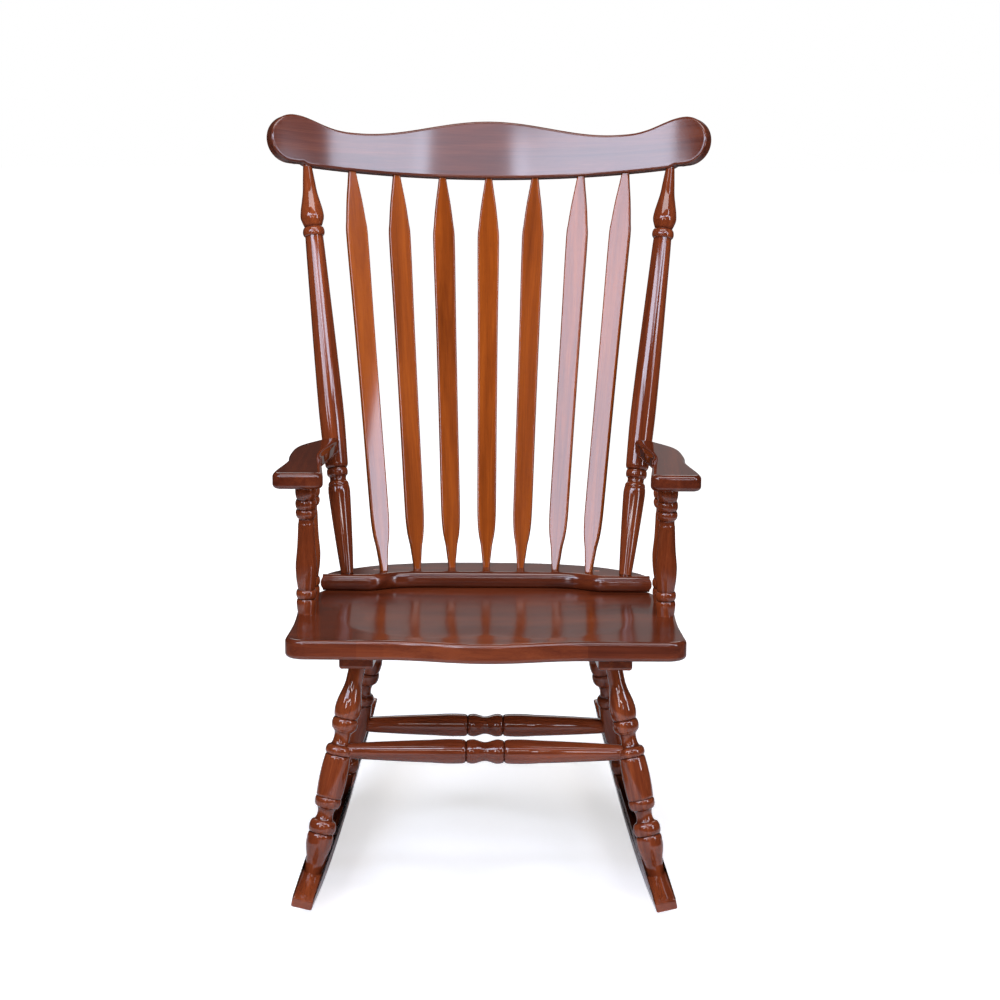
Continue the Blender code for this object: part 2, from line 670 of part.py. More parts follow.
# Fasteners ------------------------------------------------------------------------------------

def build_screw(name, frame, hosts, length, radius, head_radius):
    """A screw whose head lies at the frame's origin, in a hole through all of its hosts."""
    profile = (
        (0, head_radius), (SCREW_HEAD * 0.4, head_radius), (SCREW_HEAD, radius), (length, radius),
    )
    screw = add_object(name, revolve(profile, SCREW_SIDES), STEEL, frame)
    for host in hosts:
        lead = (-0.5 * MM, head_radius)
        cut_peg_hole(host, frame, (lead, *profile[1:]), GAP, SCREW_SIDES)
    return screw


def build_plug(name, frame, host, material):
    """A wooden plug over a screw's head; the frame's +Z goes into the wood."""
    profile = ((0, PLUG_RADIUS - 0.5 * MM), (0.5 * MM, PLUG_RADIUS), (PLUG_DEPTH, PLUG_RADIUS))
    plug = add_object(name, revolve(profile, SCREW_SIDES), material, frame)
    cut_peg_hole(host, frame, ((-8 * MM, PLUG_RADIUS), (PLUG_DEPTH, PLUG_RADIUS)), GAP, SCREW_SIDES)
    return plug


def build_deck_fasteners():
    pieces = []
    down = Matrix.Rotation(math.pi, 4, "X")
    top = DECK_THICKNESS + GAP
    below = Matrix.Translation((0, 0, PLUG_DEPTH + GAP))
    for place, spot in DECK_PLUGS.items():
        frame = SEAT_FRAME @ Matrix.Translation((spot.x, spot.y, top)) @ down
        pieces.append(build_plug("deck_plug_" + place, frame, "seat_deck", PLUG_WOOD))
        pieces.append(build_screw("deck_screw_" + place, frame @ below, ("seat_deck", "seat"),
                                  SCREW_LENGTH, SCREW_RADIUS, SCREW_HEAD_RADIUS))
    return pieces


def build_arm_fasteners(side, sign):
    """A screw from behind, through the back post into the end of the arm, under a plug."""
    foot, head = post_axis(sign)
    level = ARM_TOP_FRONT - ARM_THICKNESS / 2
    middle = foot + (head - foot) * (level - foot.z) / (head.z - foot.z)
    forward = Vector((sign * 0.12, -1, 0)).normalized()
    back = middle - forward * 18.5 * MM
    plug_frame = along(back, middle)
    post = "back_post_" + side
    below = Matrix.Translation((0, 0, PLUG_DEPTH + GAP))
    return [
        build_plug("arm_plug_" + side, plug_frame, post, PLUG_WOOD),
        build_screw("arm_screw_" + side, plug_frame @ below, (post, "arm_" + side),
                    ARM_SCREW_LENGTH, SCREW_RADIUS, SCREW_HEAD_RADIUS),
    ]


def build_crest_pin(side, sign):
    """A dowel pin from the back of the crest rail through the back post's tenon."""
    s = sign * CREST_RADIUS * math.asin(POST_HEAD_X / CREST_RADIUS)
    h = crest_bottom(s) + 11 * MM
    start = crest_point(s, h, CREST_THICKNESS)
    end = crest_point(s, h, 3 * MM)
    frame = along(start, end)
    depth = (end - start).length
    body = revolve(((0, PIN_RADIUS), (depth, PIN_RADIUS)), SCREW_SIDES)
    pin = add_object("crest_pin_" + side, body, PLUG_WOOD, frame)
    hole = ((-4 * MM, PIN_RADIUS), (depth, PIN_RADIUS))
    for host in ("crest_rail", "back_post_" + side):
        cut_peg_hole(host, frame, hole, GAP, SCREW_SIDES)
    return pin


def build_cleat_screws(side, sign):
    pieces = []
    bottom = -SEAT_THICKNESS - GAP - CLEAT_THICKNESS
    for place, y in (("front", 140 * MM), ("middle", 240 * MM), ("rear", 340 * MM)):
        frame = SEAT_FRAME @ Matrix.Translation((sign * cleat_x(y), y, bottom + 3 * MM))
        name = f"cleat_screw_{place}_{side}"
        pieces.append(build_screw(name, frame, ("cleat_" + side, "seat"), CLEAT_SCREW_LENGTH,
                                  CLEAT_SCREW_RADIUS, CLEAT_SCREW_HEAD_RADIUS))
    return pieces


# Assembly -------------------------------------------------------------------------------------

def build_chair():
    pieces = [build_seat(), build_deck(), build_crest()]
    for index, (foot_x, head_x) in enumerate(zip(SLAT_FEET, SLAT_HEADS)):
        if index == 0:
            pieces.append(build_slat("slat_middle", foot_x, head_x))
            continue
        for side, sign in LEFT_RIGHT:
            pieces.append(build_slat(f"slat_{side}_{index}", sign * foot_x, sign * head_x))
    for side, sign in LEFT_RIGHT:
        pieces.append(build_back_post(side, sign))
        pieces.append(build_arm(side, sign))
        for which, x, y in ARM_POSTS:
            pieces.append(build_arm_post(side, sign, which, x, y))
        pieces.append(build_cleat(side, sign))
        for which in LEGS:
            pieces.append(build_leg(side, sign, which))
        pieces.append(build_rocker(side, sign))
        pieces.extend(build_arm_fasteners(side, sign))
        pieces.append(build_crest_pin(side, sign))
        pieces.extend(build_cleat_screws(side, sign))
    for which in STRETCHERS:
        pieces.append(build_stretcher(which))
    pieces.extend(build_deck_fasteners())
    apply_cutters({piece.name: piece for piece in pieces})


for old in list(bpy.data.objects):
    bpy.data.objects.remove(old, do_unlink=True)

SEAT_WOOD = wood("seat wood", (0.085, 0.022, 0.012), 0.22)
SLAT_WOOD = wood("slat wood", (0.150, 0.045, 0.020), 0.25)
CREST_WOOD = wood("crest wood", (0.120, 0.030, 0.015), 0.22)
POST_WOOD = wood("post wood", (0.110, 0.030, 0.015), 0.24)
ARM_WOOD = wood("arm wood", (0.075, 0.020, 0.012), 0.20)
BASE_WOOD = wood("base wood", (0.090, 0.025, 0.014), 0.26)
PLUG_WOOD = wood("plug wood", (0.140, 0.035, 0.018), 0.30)
STEEL = steel("screw steel")

chair = bpy.data.objects.new("rocking_chair", None)
chair.location.y = -FOOTPRINT_MIDDLE_Y
bpy.context.scene.collection.objects.link(chair)
build_chair()
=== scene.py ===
import math

import bmesh
import bpy
import numpy as np
from mathutils import Matrix, Vector


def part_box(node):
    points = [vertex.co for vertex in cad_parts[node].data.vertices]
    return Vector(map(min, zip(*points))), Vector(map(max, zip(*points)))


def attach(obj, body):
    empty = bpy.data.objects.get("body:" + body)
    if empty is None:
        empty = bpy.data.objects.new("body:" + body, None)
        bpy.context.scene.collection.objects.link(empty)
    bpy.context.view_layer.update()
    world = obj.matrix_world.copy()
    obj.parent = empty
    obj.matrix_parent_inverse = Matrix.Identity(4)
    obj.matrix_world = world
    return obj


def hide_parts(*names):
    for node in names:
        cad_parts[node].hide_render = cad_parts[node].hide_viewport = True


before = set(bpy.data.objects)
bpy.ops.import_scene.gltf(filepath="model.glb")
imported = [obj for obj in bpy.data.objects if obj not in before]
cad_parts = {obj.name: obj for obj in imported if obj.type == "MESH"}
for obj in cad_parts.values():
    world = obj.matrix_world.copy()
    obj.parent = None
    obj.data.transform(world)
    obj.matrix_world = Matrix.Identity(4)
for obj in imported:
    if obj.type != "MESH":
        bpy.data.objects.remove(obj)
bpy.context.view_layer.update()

# metres; X to the sitter's left, Y to the back. The chair was drawn from the front edge of its
# seat, so everything drawn that way is moved by this to sit over the origin
drawnFrom = Vector((0, -0.3592, 0))
sides = (("left", 1), ("right", -1))
print("frame loaded:", len(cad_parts), "pieces")


# Finishes

def addNode(tree, kind, inputs=(), **settings):
    node = tree.nodes.new(kind)
    for key, value in settings.items():
        setattr(node, key, value)
    for key, source in dict(inputs).items():
        feed(tree, node.inputs[key], source)
    return node


def feed(tree, socket, source):
    if isinstance(source, bpy.types.NodeSocket):
        tree.links.new(source, socket)
    else:
        socket.default_value = source


def calc(tree, operation, *sources, clamp=False):
    node = addNode(tree, "ShaderNodeMath", operation=operation, use_clamp=clamp)
    for socket, source in zip(node.inputs, sources):
        feed(tree, socket, source)
    return node.outputs[0]


def vecCalc(tree, operation, *sources):
    node = addNode(tree, "ShaderNodeVectorMath", operation=operation)
    if operation == "SCALE":
        feed(tree, node.inputs[0], sources[0])
        feed(tree, node.inputs["Scale"], sources[1])
    else:
        for socket, source in zip(node.inputs, sources):
            feed(tree, socket, source)
    return node.outputs["Value"] if operation in ("LENGTH", "DOT_PRODUCT") else node.outputs[0]


def combine(tree, x, y, z):
    node = addNode(tree, "ShaderNodeCombineXYZ")
    for socket, source in zip(node.inputs, (x, y, z)):
        feed(tree, socket, source)
    return node.outputs[0]


def separate(tree, vector):
    node = addNode(tree, "ShaderNodeSeparateXYZ", {0: vector})
    return node.outputs


def noise(tree, vector, stretch, scale, detail=4.0, roughness=0.55, distortion=0.0):
    mapping = addNode(tree, "ShaderNodeMapping", {"Vector": vector, "Scale": stretch})
    node = addNode(tree, "ShaderNodeTexNoise", {
        "Vector": mapping.outputs[0], "Scale": scale, "Detail": detail, "Roughness": roughness,
        "Distortion": distortion,
    })
    return node.outputs[0]


def ramp(tree, factor, stops):
    node = addNode(tree, "ShaderNodeValToRGB", {0: factor})
    elements = node.color_ramp.elements
    while len(elements) < len(stops):
        elements.new(0.5)
    for element, (place, colour) in zip(elements, stops):
        element.position = place
        element.color = (*colour, 1) if len(colour) == 3 else (colour[0],) * 3 + (1,)
    return node.outputs[0]


def blendColour(tree, mode, factor, first, second):
    node = addNode(tree, "ShaderNodeMix", {
        0: factor, 6: first, 7: second,
    }, data_type="RGBA", blend_type=mode)
    return node.outputs[2]


def newMaterial(name):
    material = bpy.data.materials.new(name)
    material.use_nodes = True
    return material, material.node_tree, material.node_tree.nodes["Principled BSDF"]


def woodFinish(name, look):
    # stained hardwood under satin lacquer. The grain attribute holds metres, Z along the fibres
    material, tree, shader = newMaterial(name)
    grain = addNode(tree, "ShaderNodeAttribute", attribute_name="grain").outputs["Vector"]
    figure = noise(tree, grain, (1, 1, look["stretch"]), look["figure"], 5, 0.6, 1.1)
    fibre = noise(tree, grain, (1, 1, 0.022), 760, 3, 0.6)
    cloud = noise(tree, grain, (1, 1, 0.35), 9, 3, 0.5, 0.3)
    pores = noise(tree, grain, (1, 1, 0.045), 1900, 2, 0.5)
    tone = calc(tree, "MULTIPLY", figure, 0.55)
    tone = calc(tree, "MULTIPLY_ADD", fibre, 0.25, tone)
    tone = calc(tree, "MULTIPLY_ADD", cloud, 0.20, tone)
    if look.get("staves"):
        tone = calc(tree, "ADD", tone, staveTone(tree, grain, look["staves"]))
    colour = ramp(tree, tone, (
        (0.34, look["dark"]), (0.50, look["main"]), (0.66, look["light"]),
    ))
    poreMask = ramp(tree, pores, ((0.30, (0.45,)), (0.40, (1.0,))))
    colour = blendColour(tree, "MULTIPLY", look["pores"], colour, poreMask)
    # painted shade: the grooves and coves of the turned pieces are mixed towards a dark colour
    grooveShade = addNode(tree, "ShaderNodeAttribute", attribute_name="grooveShade").outputs["Fac"]
    colour = blendColour(tree, "MIX", calc(tree, "MULTIPLY", grooveShade, 0.75), colour,
                         (*look["grooveShade"], 1))
    feed(tree, shader.inputs["Base Color"], colour)
    rough = calc(tree, "MULTIPLY_ADD", fibre, 0.16, look["roughness"] - 0.08)
    feed(tree, shader.inputs["Roughness"], rough)
    shader.inputs["Specular IOR Level"].default_value = 0.0
    shader.inputs["Coat Weight"].default_value = look["lacquer"]
    shader.inputs["Coat Roughness"].default_value = look["sheen"]
    shader.inputs["Coat IOR"].default_value = 1.5
    bump = addNode(tree, "ShaderNodeBump", {
        "Strength": 0.10, "Distance": 0.0004,
        "Height": calc(tree, "MULTIPLY_ADD", fibre, 0.6, poreMask),
    })
    feed(tree, shader.inputs["Normal"], bump.outputs[0])
    return material


def staveTone(tree, grain, stave):
    # boards glued side by side: each stave, and each length along it, has its own tone
    parts = separate(tree, grain)
    row = calc(tree, "FLOOR", calc(tree, "DIVIDE", parts[0], stave["width"]))
    along = calc(tree, "MULTIPLY_ADD", row, stave["stagger"], parts[2])
    column = calc(tree, "FLOOR", calc(tree, "DIVIDE", along, stave["length"]))
    dice = addNode(tree, "ShaderNodeTexWhiteNoise", {
        "Vector": combine(tree, row, column, 0.0),
    }, noise_dimensions="3D")
    return calc(tree, "MULTIPLY", calc(tree, "SUBTRACT", dice.outputs["Value"], 0.5),
                stave["contrast"])


def steelFinish(name):
    # zinc-plated screws, slightly brushed
    material, tree, shader = newMaterial(name)
    place = addNode(tree, "ShaderNodeTexCoord").outputs["Object"]
    brushed = noise(tree, place, (1, 1, 8), 900, 3)
    feed(tree, shader.inputs["Base Color"], ramp(tree, brushed, (
        (0.3, (0.42, 0.41, 0.38)), (0.7, (0.62, 0.61, 0.58)),
    )))
    feed(tree, shader.inputs["Roughness"], calc(tree, "MULTIPLY_ADD", brushed, 0.25, 0.22))
    shader.inputs["Metallic"].default_value = 1
    return material


def look(main, dark=0.5, light=1.7, **changes):
    # a stain: its main colour, and how much darker and lighter the figure runs
    red, green, blue = main
    settings = {
        "main": main,
        "dark": (red * dark, green * dark * 0.9, blue * dark * 0.9),
        "light": (min(1, red * light), green * light * 1.12, blue * light),
        # the dark colour painted into the grooves as shade
        "grooveShade": (red * 0.22, green * 0.16, blue * 0.2),
        "stretch": 0.055, "figure": 42, "pores": 0.45,
        "roughness": 0.42, "lacquer": 1.0, "sheen": 0.04,
    }
    settings.update(changes)
    return settings


finishes = {
    "seat_wood": woodFinish("seat cherry", look(
        (0.105, 0.020, 0.007), sheen=0.16,
        staves={"width": 0.074, "stagger": 0.113, "length": 0.230, "contrast": 0.16})),
    "slat_wood": woodFinish("slat cherry", look((0.225, 0.044, 0.005), 0.50, 1.5, sheen=0.07)),
    "crest_wood": woodFinish("crest cherry", look((0.098, 0.022, 0.010), 0.5, 1.6, sheen=0.12)),
    "post_wood": woodFinish("post cherry", look((0.160, 0.031, 0.009), sheen=0.06)),
    # partly painted shade: the arms' own cherry, set darker than the other parts to stand in for
    # the shade on the arm tops
    "arm_wood": woodFinish("arm cherry darkened as painted shade", look((0.085, 0.016, 0.006))),
    "base_wood": woodFinish("base cherry", look((0.150, 0.029, 0.009))),
    "plug_wood": woodFinish("plug cherry", look((0.230, 0.045, 0.015), figure=90)),
    "screw_steel": steelFinish("zinc steel"),
}
print("finishes ready:", len(finishes))


# Shaping helpers

def smoothCurve(points, steps):
    # Catmull-Rom curve through the points
    ends = [points[0] * 2 - points[1], *points, points[-1] * 2 - points[-2]]
    curve = []
    for a, b, c, d in zip(ends, ends[1:], ends[2:], ends[3:]):
        for step in range(steps):
            t = step / steps
            curve.append(0.5 * (2 * b + (c - a) * t + (2 * a - 5 * b + 4 * c - d) * t ** 2
                                + (3 * b - a - 3 * c + d) * t ** 3))
    return [*curve, points[-1]]


def roundCorner(centre, radius, start, end, steps):
    angles = [math.radians(start + (end - start) * k / steps) for k in range(steps + 1)]
    return [centre + radius * Vector((math.cos(a), math.sin(a))) for a in angles]


def insetOutline(outline, distance):
    # moves a counter-clockwise outline inwards
    moved = []
    for index, point in enumerate(outline):
        before = (point - outline[index - 1]).normalized()
        after = (outline[(index + 1) % len(outline)] - point).normalized()
        normal = Vector((-before.y - after.y, before.x + after.x)).normalized()
        stretch = 1 / max(0.6, math.sqrt((1 + before.dot(after)) / 2))
        moved.append(point + normal * distance * stretch)
    return moved


def edgeLevels(bottom, top, edge, depth=None, steps=6, margin=0.0015):
    # (inset, height) pairs up a board with rounded edges; the margin keeps its faces flat
    depth = depth or edge
    turns = [math.pi / 2 * k / steps for k in range(steps + 1)]
    low = [(depth * (1 - math.sin(a)), bottom + edge * (1 - math.cos(a))) for a in turns]
    high = [(inward, top + bottom - z) for inward, z in reversed(low)]
    if math.isclose(low[-1][1], high[0][1]):
        high = high[1:]
    return [(depth + margin, bottom), *low, *high, (depth + margin, top)]


def skinRings(rings, capped=True):
    bm = bmesh.new()
    made = [[bm.verts.new(point) for point in ring] for ring in rings]
    for low, high in zip(made, made[1:]):
        for index in range(len(low)):
            after = (index + 1) % len(low)
            bm.faces.new((low[index], low[after], high[after], high[index]))
    if capped:
        bm.faces.new(made[0][::-1])
        bm.faces.new(made[-1])
    return bm, made


def flatPoint(point, height):
    return Vector((point.x, point.y, height))


def roundedBoard(outline, levels):
    return skinRings([[flatPoint(p, z) for p in insetOutline(outline, depth)]
                      for depth, z in levels])[0]


def mirrorOutline(half):
    return [*half, *[Vector((-p.x, p.y)) for p in reversed(half) if abs(p.x) > 1e-6]]


def meshOf(name, bm):
    mesh = bpy.data.meshes.new(name)
    bm.to_mesh(mesh)
    bm.free()
    return mesh


def addObject(name, data):
    made = bpy.data.objects.new(name, data)
    bpy.context.scene.collection.objects.link(made)
    return made


def takeMesh(holder):
    # the object's mesh with its modifiers applied; the object itself goes
    bpy.context.view_layer.update()
    graph = bpy.context.evaluated_depsgraph_get()
    mesh = bpy.data.meshes.new_from_object(holder.evaluated_get(graph), depsgraph=graph)
    bpy.data.objects.remove(holder)
    return mesh


def evenNormals(name, mesh):
    # broad faces keep their own normal, so that the narrow rounded edges do not shade them
    holder = addObject(name, mesh)
    weighted = holder.modifiers.new("weighted", "WEIGHTED_NORMAL")
    weighted.keep_sharp = True
    even = takeMesh(holder)
    bpy.data.meshes.remove(mesh)
    even.name = name
    return even


def keepPiece(name, mesh, slotName, cadNodes, sharp=35):
    # names the piece, gives it its finish, hides the CAD nodes it stands for and prints where it
    # strays from their bounds
    mesh.name = name
    mesh.materials.clear()
    mesh.materials.append(finishes[slotName])
    mesh.shade_smooth()
    mesh.set_sharp_from_angle(angle=math.radians(sharp))
    piece = addObject(name, evenNormals(name, mesh))
    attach(piece, "root")
    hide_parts(*cadNodes)
    checkFit(name, piece.data, cadNodes)


fitLimit = 0.003


def checkFit(name, mesh, cadNodes):
    boxes = [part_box(node) for node in cadNodes]
    points = np.array([vertex.co for vertex in mesh.vertices])
    for axis in range(3):
        low = min(box[0][axis] for box in boxes)
        high = max(box[1][axis] for box in boxes)
        gap = max(abs(points[:, axis].min() - low), abs(points[:, axis].max() - high))
        if gap > fitLimit:
            print(f"  {name}: {gap * 1000:.1f} mm from its solid along {'XYZ'[axis]}")


def addPiece(name, bm, slotName, cadNodes, place, grainTurn, grooveShade=None, sharp=35):
    # place is the piece's own frame; grainTurn turns it so that +Z runs along the fibres
    bmesh.ops.recalc_face_normals(bm, faces=bm.faces)
    mesh = meshOf(name, bm)
    # every piece is cut from its own place in the wood
    offset = Vector((0.37, 0.19, 0.83)) * (sum(map(ord, name)) % 97)
    grain = mesh.attributes.new("grain", "FLOAT_VECTOR", "POINT")
    values = [grainTurn @ vertex.co + offset for vertex in mesh.vertices]
    grain.data.foreach_set("vector", np.array(values, np.float32).ravel())
    # painted shade: a mask that darkens the grooves, kept on the points
    if grooveShade:
        depth = mesh.attributes.new("grooveShade", "FLOAT", "POINT")
        depth.data.foreach_set("value", [grooveShade(vertex.co) for vertex in mesh.vertices])
    mesh.transform(place)
    if place.determinant() < 0:
        mesh.flip_normals()
    keepPiece(name, mesh, slotName, cadNodes, sharp)


upright = Matrix.Identity(3)
grainAcross = Matrix(((0, 1, 0), (0, 0, 1), (1, 0, 0)))  # fibres run along X
grainDeep = Matrix(((1, 0, 0), (0, 0, 1), (0, 1, 0)))  # fibres run along Y


# Seat and deck

seat = {
    "height": 0.431, "slope": 2.0, "thickness": 0.0295,
    "halfWidth": 0.296, "depth": 0.515, "corner": 0.030, "edge": 0.006,
    "bow": 0.024, "bowHalfWidth": 0.150,
    "side": ((0.291, 0.134), (0.291, 0.228)),
    "rear": ((0.294, 0.297), (0.274, 0.366), (0.259, 0.404), (0.244, 0.430), (0.217, 0.455),
             (0.170, 0.487), (0.090, 0.510), (0, 0.515)),
    "hollow": 0.0065, "hollowMiddle": 0.213, "hollowHalf": (0.226, 0.190), "hollowCorner": 2.6,
    "pommel": 0.0016, "pommelY": 0.05, "pommelHalf": (0.045, 0.09), "grid": 0.006,
    "frontStep": 0.012,
}
deck = {
    "thickness": 0.026, "nose": 0.0085, "gap": 0.0003,
    "front": ((-0.264, 0.387), (-0.215, 0.387), (-0.178, 0.389), (-0.140, 0.412),
              (-0.090, 0.418), (0, 0.418)),
    "rearFrom": 0.399,
}
seatFrame = (Matrix.Translation(drawnFrom + Vector((0, 0, seat["height"])))
             @ Matrix.Rotation(-math.radians(seat["slope"]), 4, "X"))


def onSeat(x, y, height=0.0):
    return seatFrame @ Vector((x, y, height))


def seatRear(steps=14):
    return smoothCurve([Vector(p) for p in seat["rear"]], steps)


def seatOutline():
    steps = 44
    front = []
    for k in range(steps):
        x = seat["bowHalfWidth"] * k / (steps - 1)
        swell = (1 + math.cos(math.pi * x / seat["bowHalfWidth"])) / 2
        front.append(Vector((x, -seat["bow"] * swell)))
    x = seat["bowHalfWidth"]
    while x < seat["halfWidth"] - seat["corner"] - seat["frontStep"]:
        x += seat["frontStep"]
        front.append(Vector((x, 0)))
    centre = Vector((seat["halfWidth"] - seat["corner"], seat["corner"]))
    corner = roundCorner(centre, seat["corner"], -90, 0, 20)
    side = smoothCurve([corner[-1], *[Vector(p) for p in seat["side"]], seatRear()[0]], 14)
    return mirrorOutline([*front, *corner, *side[1:], *seatRear()[1:]])


def seatHollow(x, y):
    # a shallow saddle with a faint pommel at its front
    halfX, halfY = seat["hollowHalf"]
    power = seat["hollowCorner"]
    reach = abs(x / halfX) ** power + abs((y - seat["hollowMiddle"]) / halfY) ** power
    reach = reach ** (1 / power)
    if reach >= 1:
        return 0
    wide, deep = seat["pommelHalf"]
    pommel = seat["pommel"] * math.exp(-(x / wide) ** 2 - ((y - seat["pommelY"]) / deep) ** 2)
    return max(0, seat["hollow"] * (1 - reach ** 2) - pommel)


def gridCap(bm, cap, low, high, step):
    # cuts one flat face into a grid, so that it can be carved
    cap.material_index = 1
    cuts = [(axis, low[axis] + step * k) for axis in (0, 1)
            for k in range(1, int((high[axis] - low[axis]) / step) + 1)]
    for axis, value in cuts:
        point = Vector((0, 0, 0))
        point[axis] = value
        normal = Vector((0, 0, 0))
        normal[axis] = 1
        faces = [face for face in bm.faces if face.material_index == 1]
        edges = list({edge for face in faces for edge in face.edges})
        verts = list({vert for face in faces for vert in face.verts})
        bmesh.ops.bisect_plane(bm, geom=verts + edges + faces, plane_co=point, plane_no=normal)
    carved = {vert for face in bm.faces if face.material_index == 1 for vert in face.verts}
    for face in bm.faces:
        face.material_index = 0
    return carved


def buildSeat():
    bm = roundedBoard(seatOutline(), edgeLevels(-seat["thickness"], 0, seat["edge"]))
    bm.faces.ensure_lookup_table()
    cap = bm.faces[-1]
    low = Vector((-seat["halfWidth"], -seat["bow"]))
    high = Vector((seat["halfWidth"], seat["depth"]))
    for vert in gridCap(bm, cap, low, high, seat["grid"]):
        vert.co.z -= seatHollow(vert.co.x, vert.co.y)
    addPiece("seat_board", bm, "seat_wood", ["seat"], seatFrame, grainAcross, sharp=50)


def buildDeck():
    front = smoothCurve([Vector(p) for p in deck["front"]], 16)
    front = [*front, *[Vector((-p.x, p.y)) for p in reversed(front[:-1])]]
    rear = [p for p in seatRear(16) if p.y > deck["rearFrom"]]
    rear = [*rear, *[Vector((-p.x, p.y)) for p in reversed(rear[:-1])]]
    top = deck["gap"] + deck["thickness"]
    levels = edgeLevels(deck["gap"], top, deck["thickness"] / 2, deck["nose"], 10)
    addPiece("seat_deck_board", roundedBoard([*front, *rear], levels), "seat_wood",
             ["seat_deck"], seatFrame, grainAcross, sharp=60)


buildSeat()
buildDeck()
print("seat and deck carved")


# Crest rail

crest = {
    "radius": 0.700, "rake": 16.0, "front": (0, 0.650, 1.0596), "thickness": 0.022,
    "sag": -0.005, "lift": 0.07, "crown": 0.090, "dip": 0.062, "dipAt": 0.213,
    "earRadius": 0.039, "earAt": 0.3275, "earHeight": 0.0445, "earRise": 1.6,
    "notch": 0.0022, "notchIn": 0.017, "notchWide": 0.005, "shoulder": 0.032,
    "edge": 0.0035, "step": 0.0045, "earSteps": 24,
}


def crestPoint(s, h, d):
    turn = s / crest["radius"]
    rake = math.radians(crest["rake"])
    rearward = Vector((0, math.cos(rake), -math.sin(rake)))
    upward = Vector((0, math.sin(rake), math.cos(rake)))
    outer = crest["radius"] + d
    reach = outer * math.cos(turn) - crest["radius"]
    start = Vector(crest["front"]) + drawnFrom
    return start + Vector((outer * math.sin(turn), 0, 0)) + rearward * reach + upward * h


def crestLower(s):
    rail = crest["sag"] + crest["lift"] * s ** 2
    start = crest["earAt"] - crest["shoulder"]
    if s <= start:
        return rail
    share = (s - start) / (crest["earAt"] - start)
    ease = share * share * (3 - 2 * share)
    fromNotch = (s - crest["earAt"] + crest["notchIn"]) / crest["notchWide"]
    notch = crest["notch"] * math.exp(-fromNotch ** 2)
    return rail + (crest["earHeight"] - crest["earRadius"] - rail) * ease + notch


def crestUpper(s):
    if s <= crest["dipAt"]:
        swell = (1 + math.cos(math.pi * s / crest["dipAt"])) / 2
        return crest["dip"] + swell * (crest["crown"] - crest["dip"])
    share = (s - crest["dipAt"]) / (crest["earAt"] - crest["dipAt"])
    lift = ((1 - math.cos(math.pi * share)) / 2) ** crest["earRise"]
    return crest["dip"] + lift * (crest["earHeight"] + crest["earRadius"] - crest["dip"])


def crestStations():
    count = round(crest["earAt"] / crest["step"])
    stations = []
    for k in range(count):
        s = crest["earAt"] * k / count
        stations.append((s, crestLower(s), crestUpper(s)))
    for k in range(crest["earSteps"] + 1):
        turn = math.pi / 2 * (1 - k / crest["earSteps"])
        height = crest["earRadius"] * math.sin(turn)
        stations.append((crest["earAt"] + crest["earRadius"] * math.cos(turn),
                         crest["earHeight"] - height, crest["earHeight"] + height))
    return stations


def buildCrest():
    half = crestStations()
    whole = [*[(-s, low, high) for s, low, high in reversed(half[1:])], *half]
    last = len(whole) - 1
    lower = [Vector((s, low)) for s, low, high in whole]
    upper = [Vector((s, high)) for s, low, high in whole[1:last]]
    outline = [*lower, *reversed(upper)]
    count = len(outline)
    flat = {}
    rings = []
    for depth, d in edgeLevels(0, crest["thickness"], crest["edge"], steps=5, margin=0.001):
        ring = []
        for p in insetOutline(outline, depth):
            ring.append(crestPoint(p.x, p.y, d))
            flat[tuple(round(value, 6) for value in ring[-1])] = Vector((d, p.y, p.x))
        rings.append(ring)
    bm, made = skinRings(rings, capped=False)
    for ring in (made[0], made[-1]):
        for index in range(last):
            corners = (index, index + 1, (count - index - 1) % count, (count - index) % count)
            bm.faces.new([ring[k] for k in dict.fromkeys(corners)])
    bmesh.ops.recalc_face_normals(bm, faces=bm.faces)
    mesh = meshOf("crest", bm)
    grain = mesh.attributes.new("grain", "FLOAT_VECTOR", "POINT")
    for vertex, value in zip(mesh.vertices, grain.data):
        value.vector = flat[tuple(round(part, 6) for part in vertex.co)] + Vector((2, 5, 9))
    keepPiece("crest_board", mesh, "crest_wood", ["crest_rail"], 50)


buildCrest()
print("crest rail bent")


# Arms, cleats and rockers

arm = {
    "topFront": 0.654, "frontY": 0.138, "slope": 0.2, "thickness": 0.025, "edge": 0.007,
    "outer": ((0.322, 0.152), (0.319, 0.179), (0.3066, 0.256), (0.3068, 0.315), (0.298, 0.381),
              (0.262, 0.446)),
    "inner": ((0.236, 0.452), (0.246, 0.380), (0.257, 0.300), (0.251, 0.215), (0.246, 0.152)),
    "toe": 0.014,
}
cleat = {
    "width": 0.051, "thickness": 0.026, "front": (0.193, 0.060), "rear": (0.1705, 0.430),
    "edge": 0.005, "ends": 0.004, "flatTop": 0.004,
}
rocker = {
    "width": 0.0315, "x": 0.274, "toe": -0.050, "cant": -0.217,
    "frontTip": -0.085, "rearTip": 0.800, "balance": 0.332, "curve": 0.365, "twist": 0.235,
    "level": 0.030, "edge": 0.0028, "step": 0.010,
    "top": ((0.800, 0.128), (0.790, 0.131), (0.640, 0.078), (0.455, 0.0485), (0.345, 0.045),
            (0.200, 0.051), (0.045, 0.063), (-0.020, 0.064), (-0.079, 0.0635), (-0.085, 0.061)),
}


def sided(sign):
    return Matrix.Diagonal((sign, 1, 1, 1))


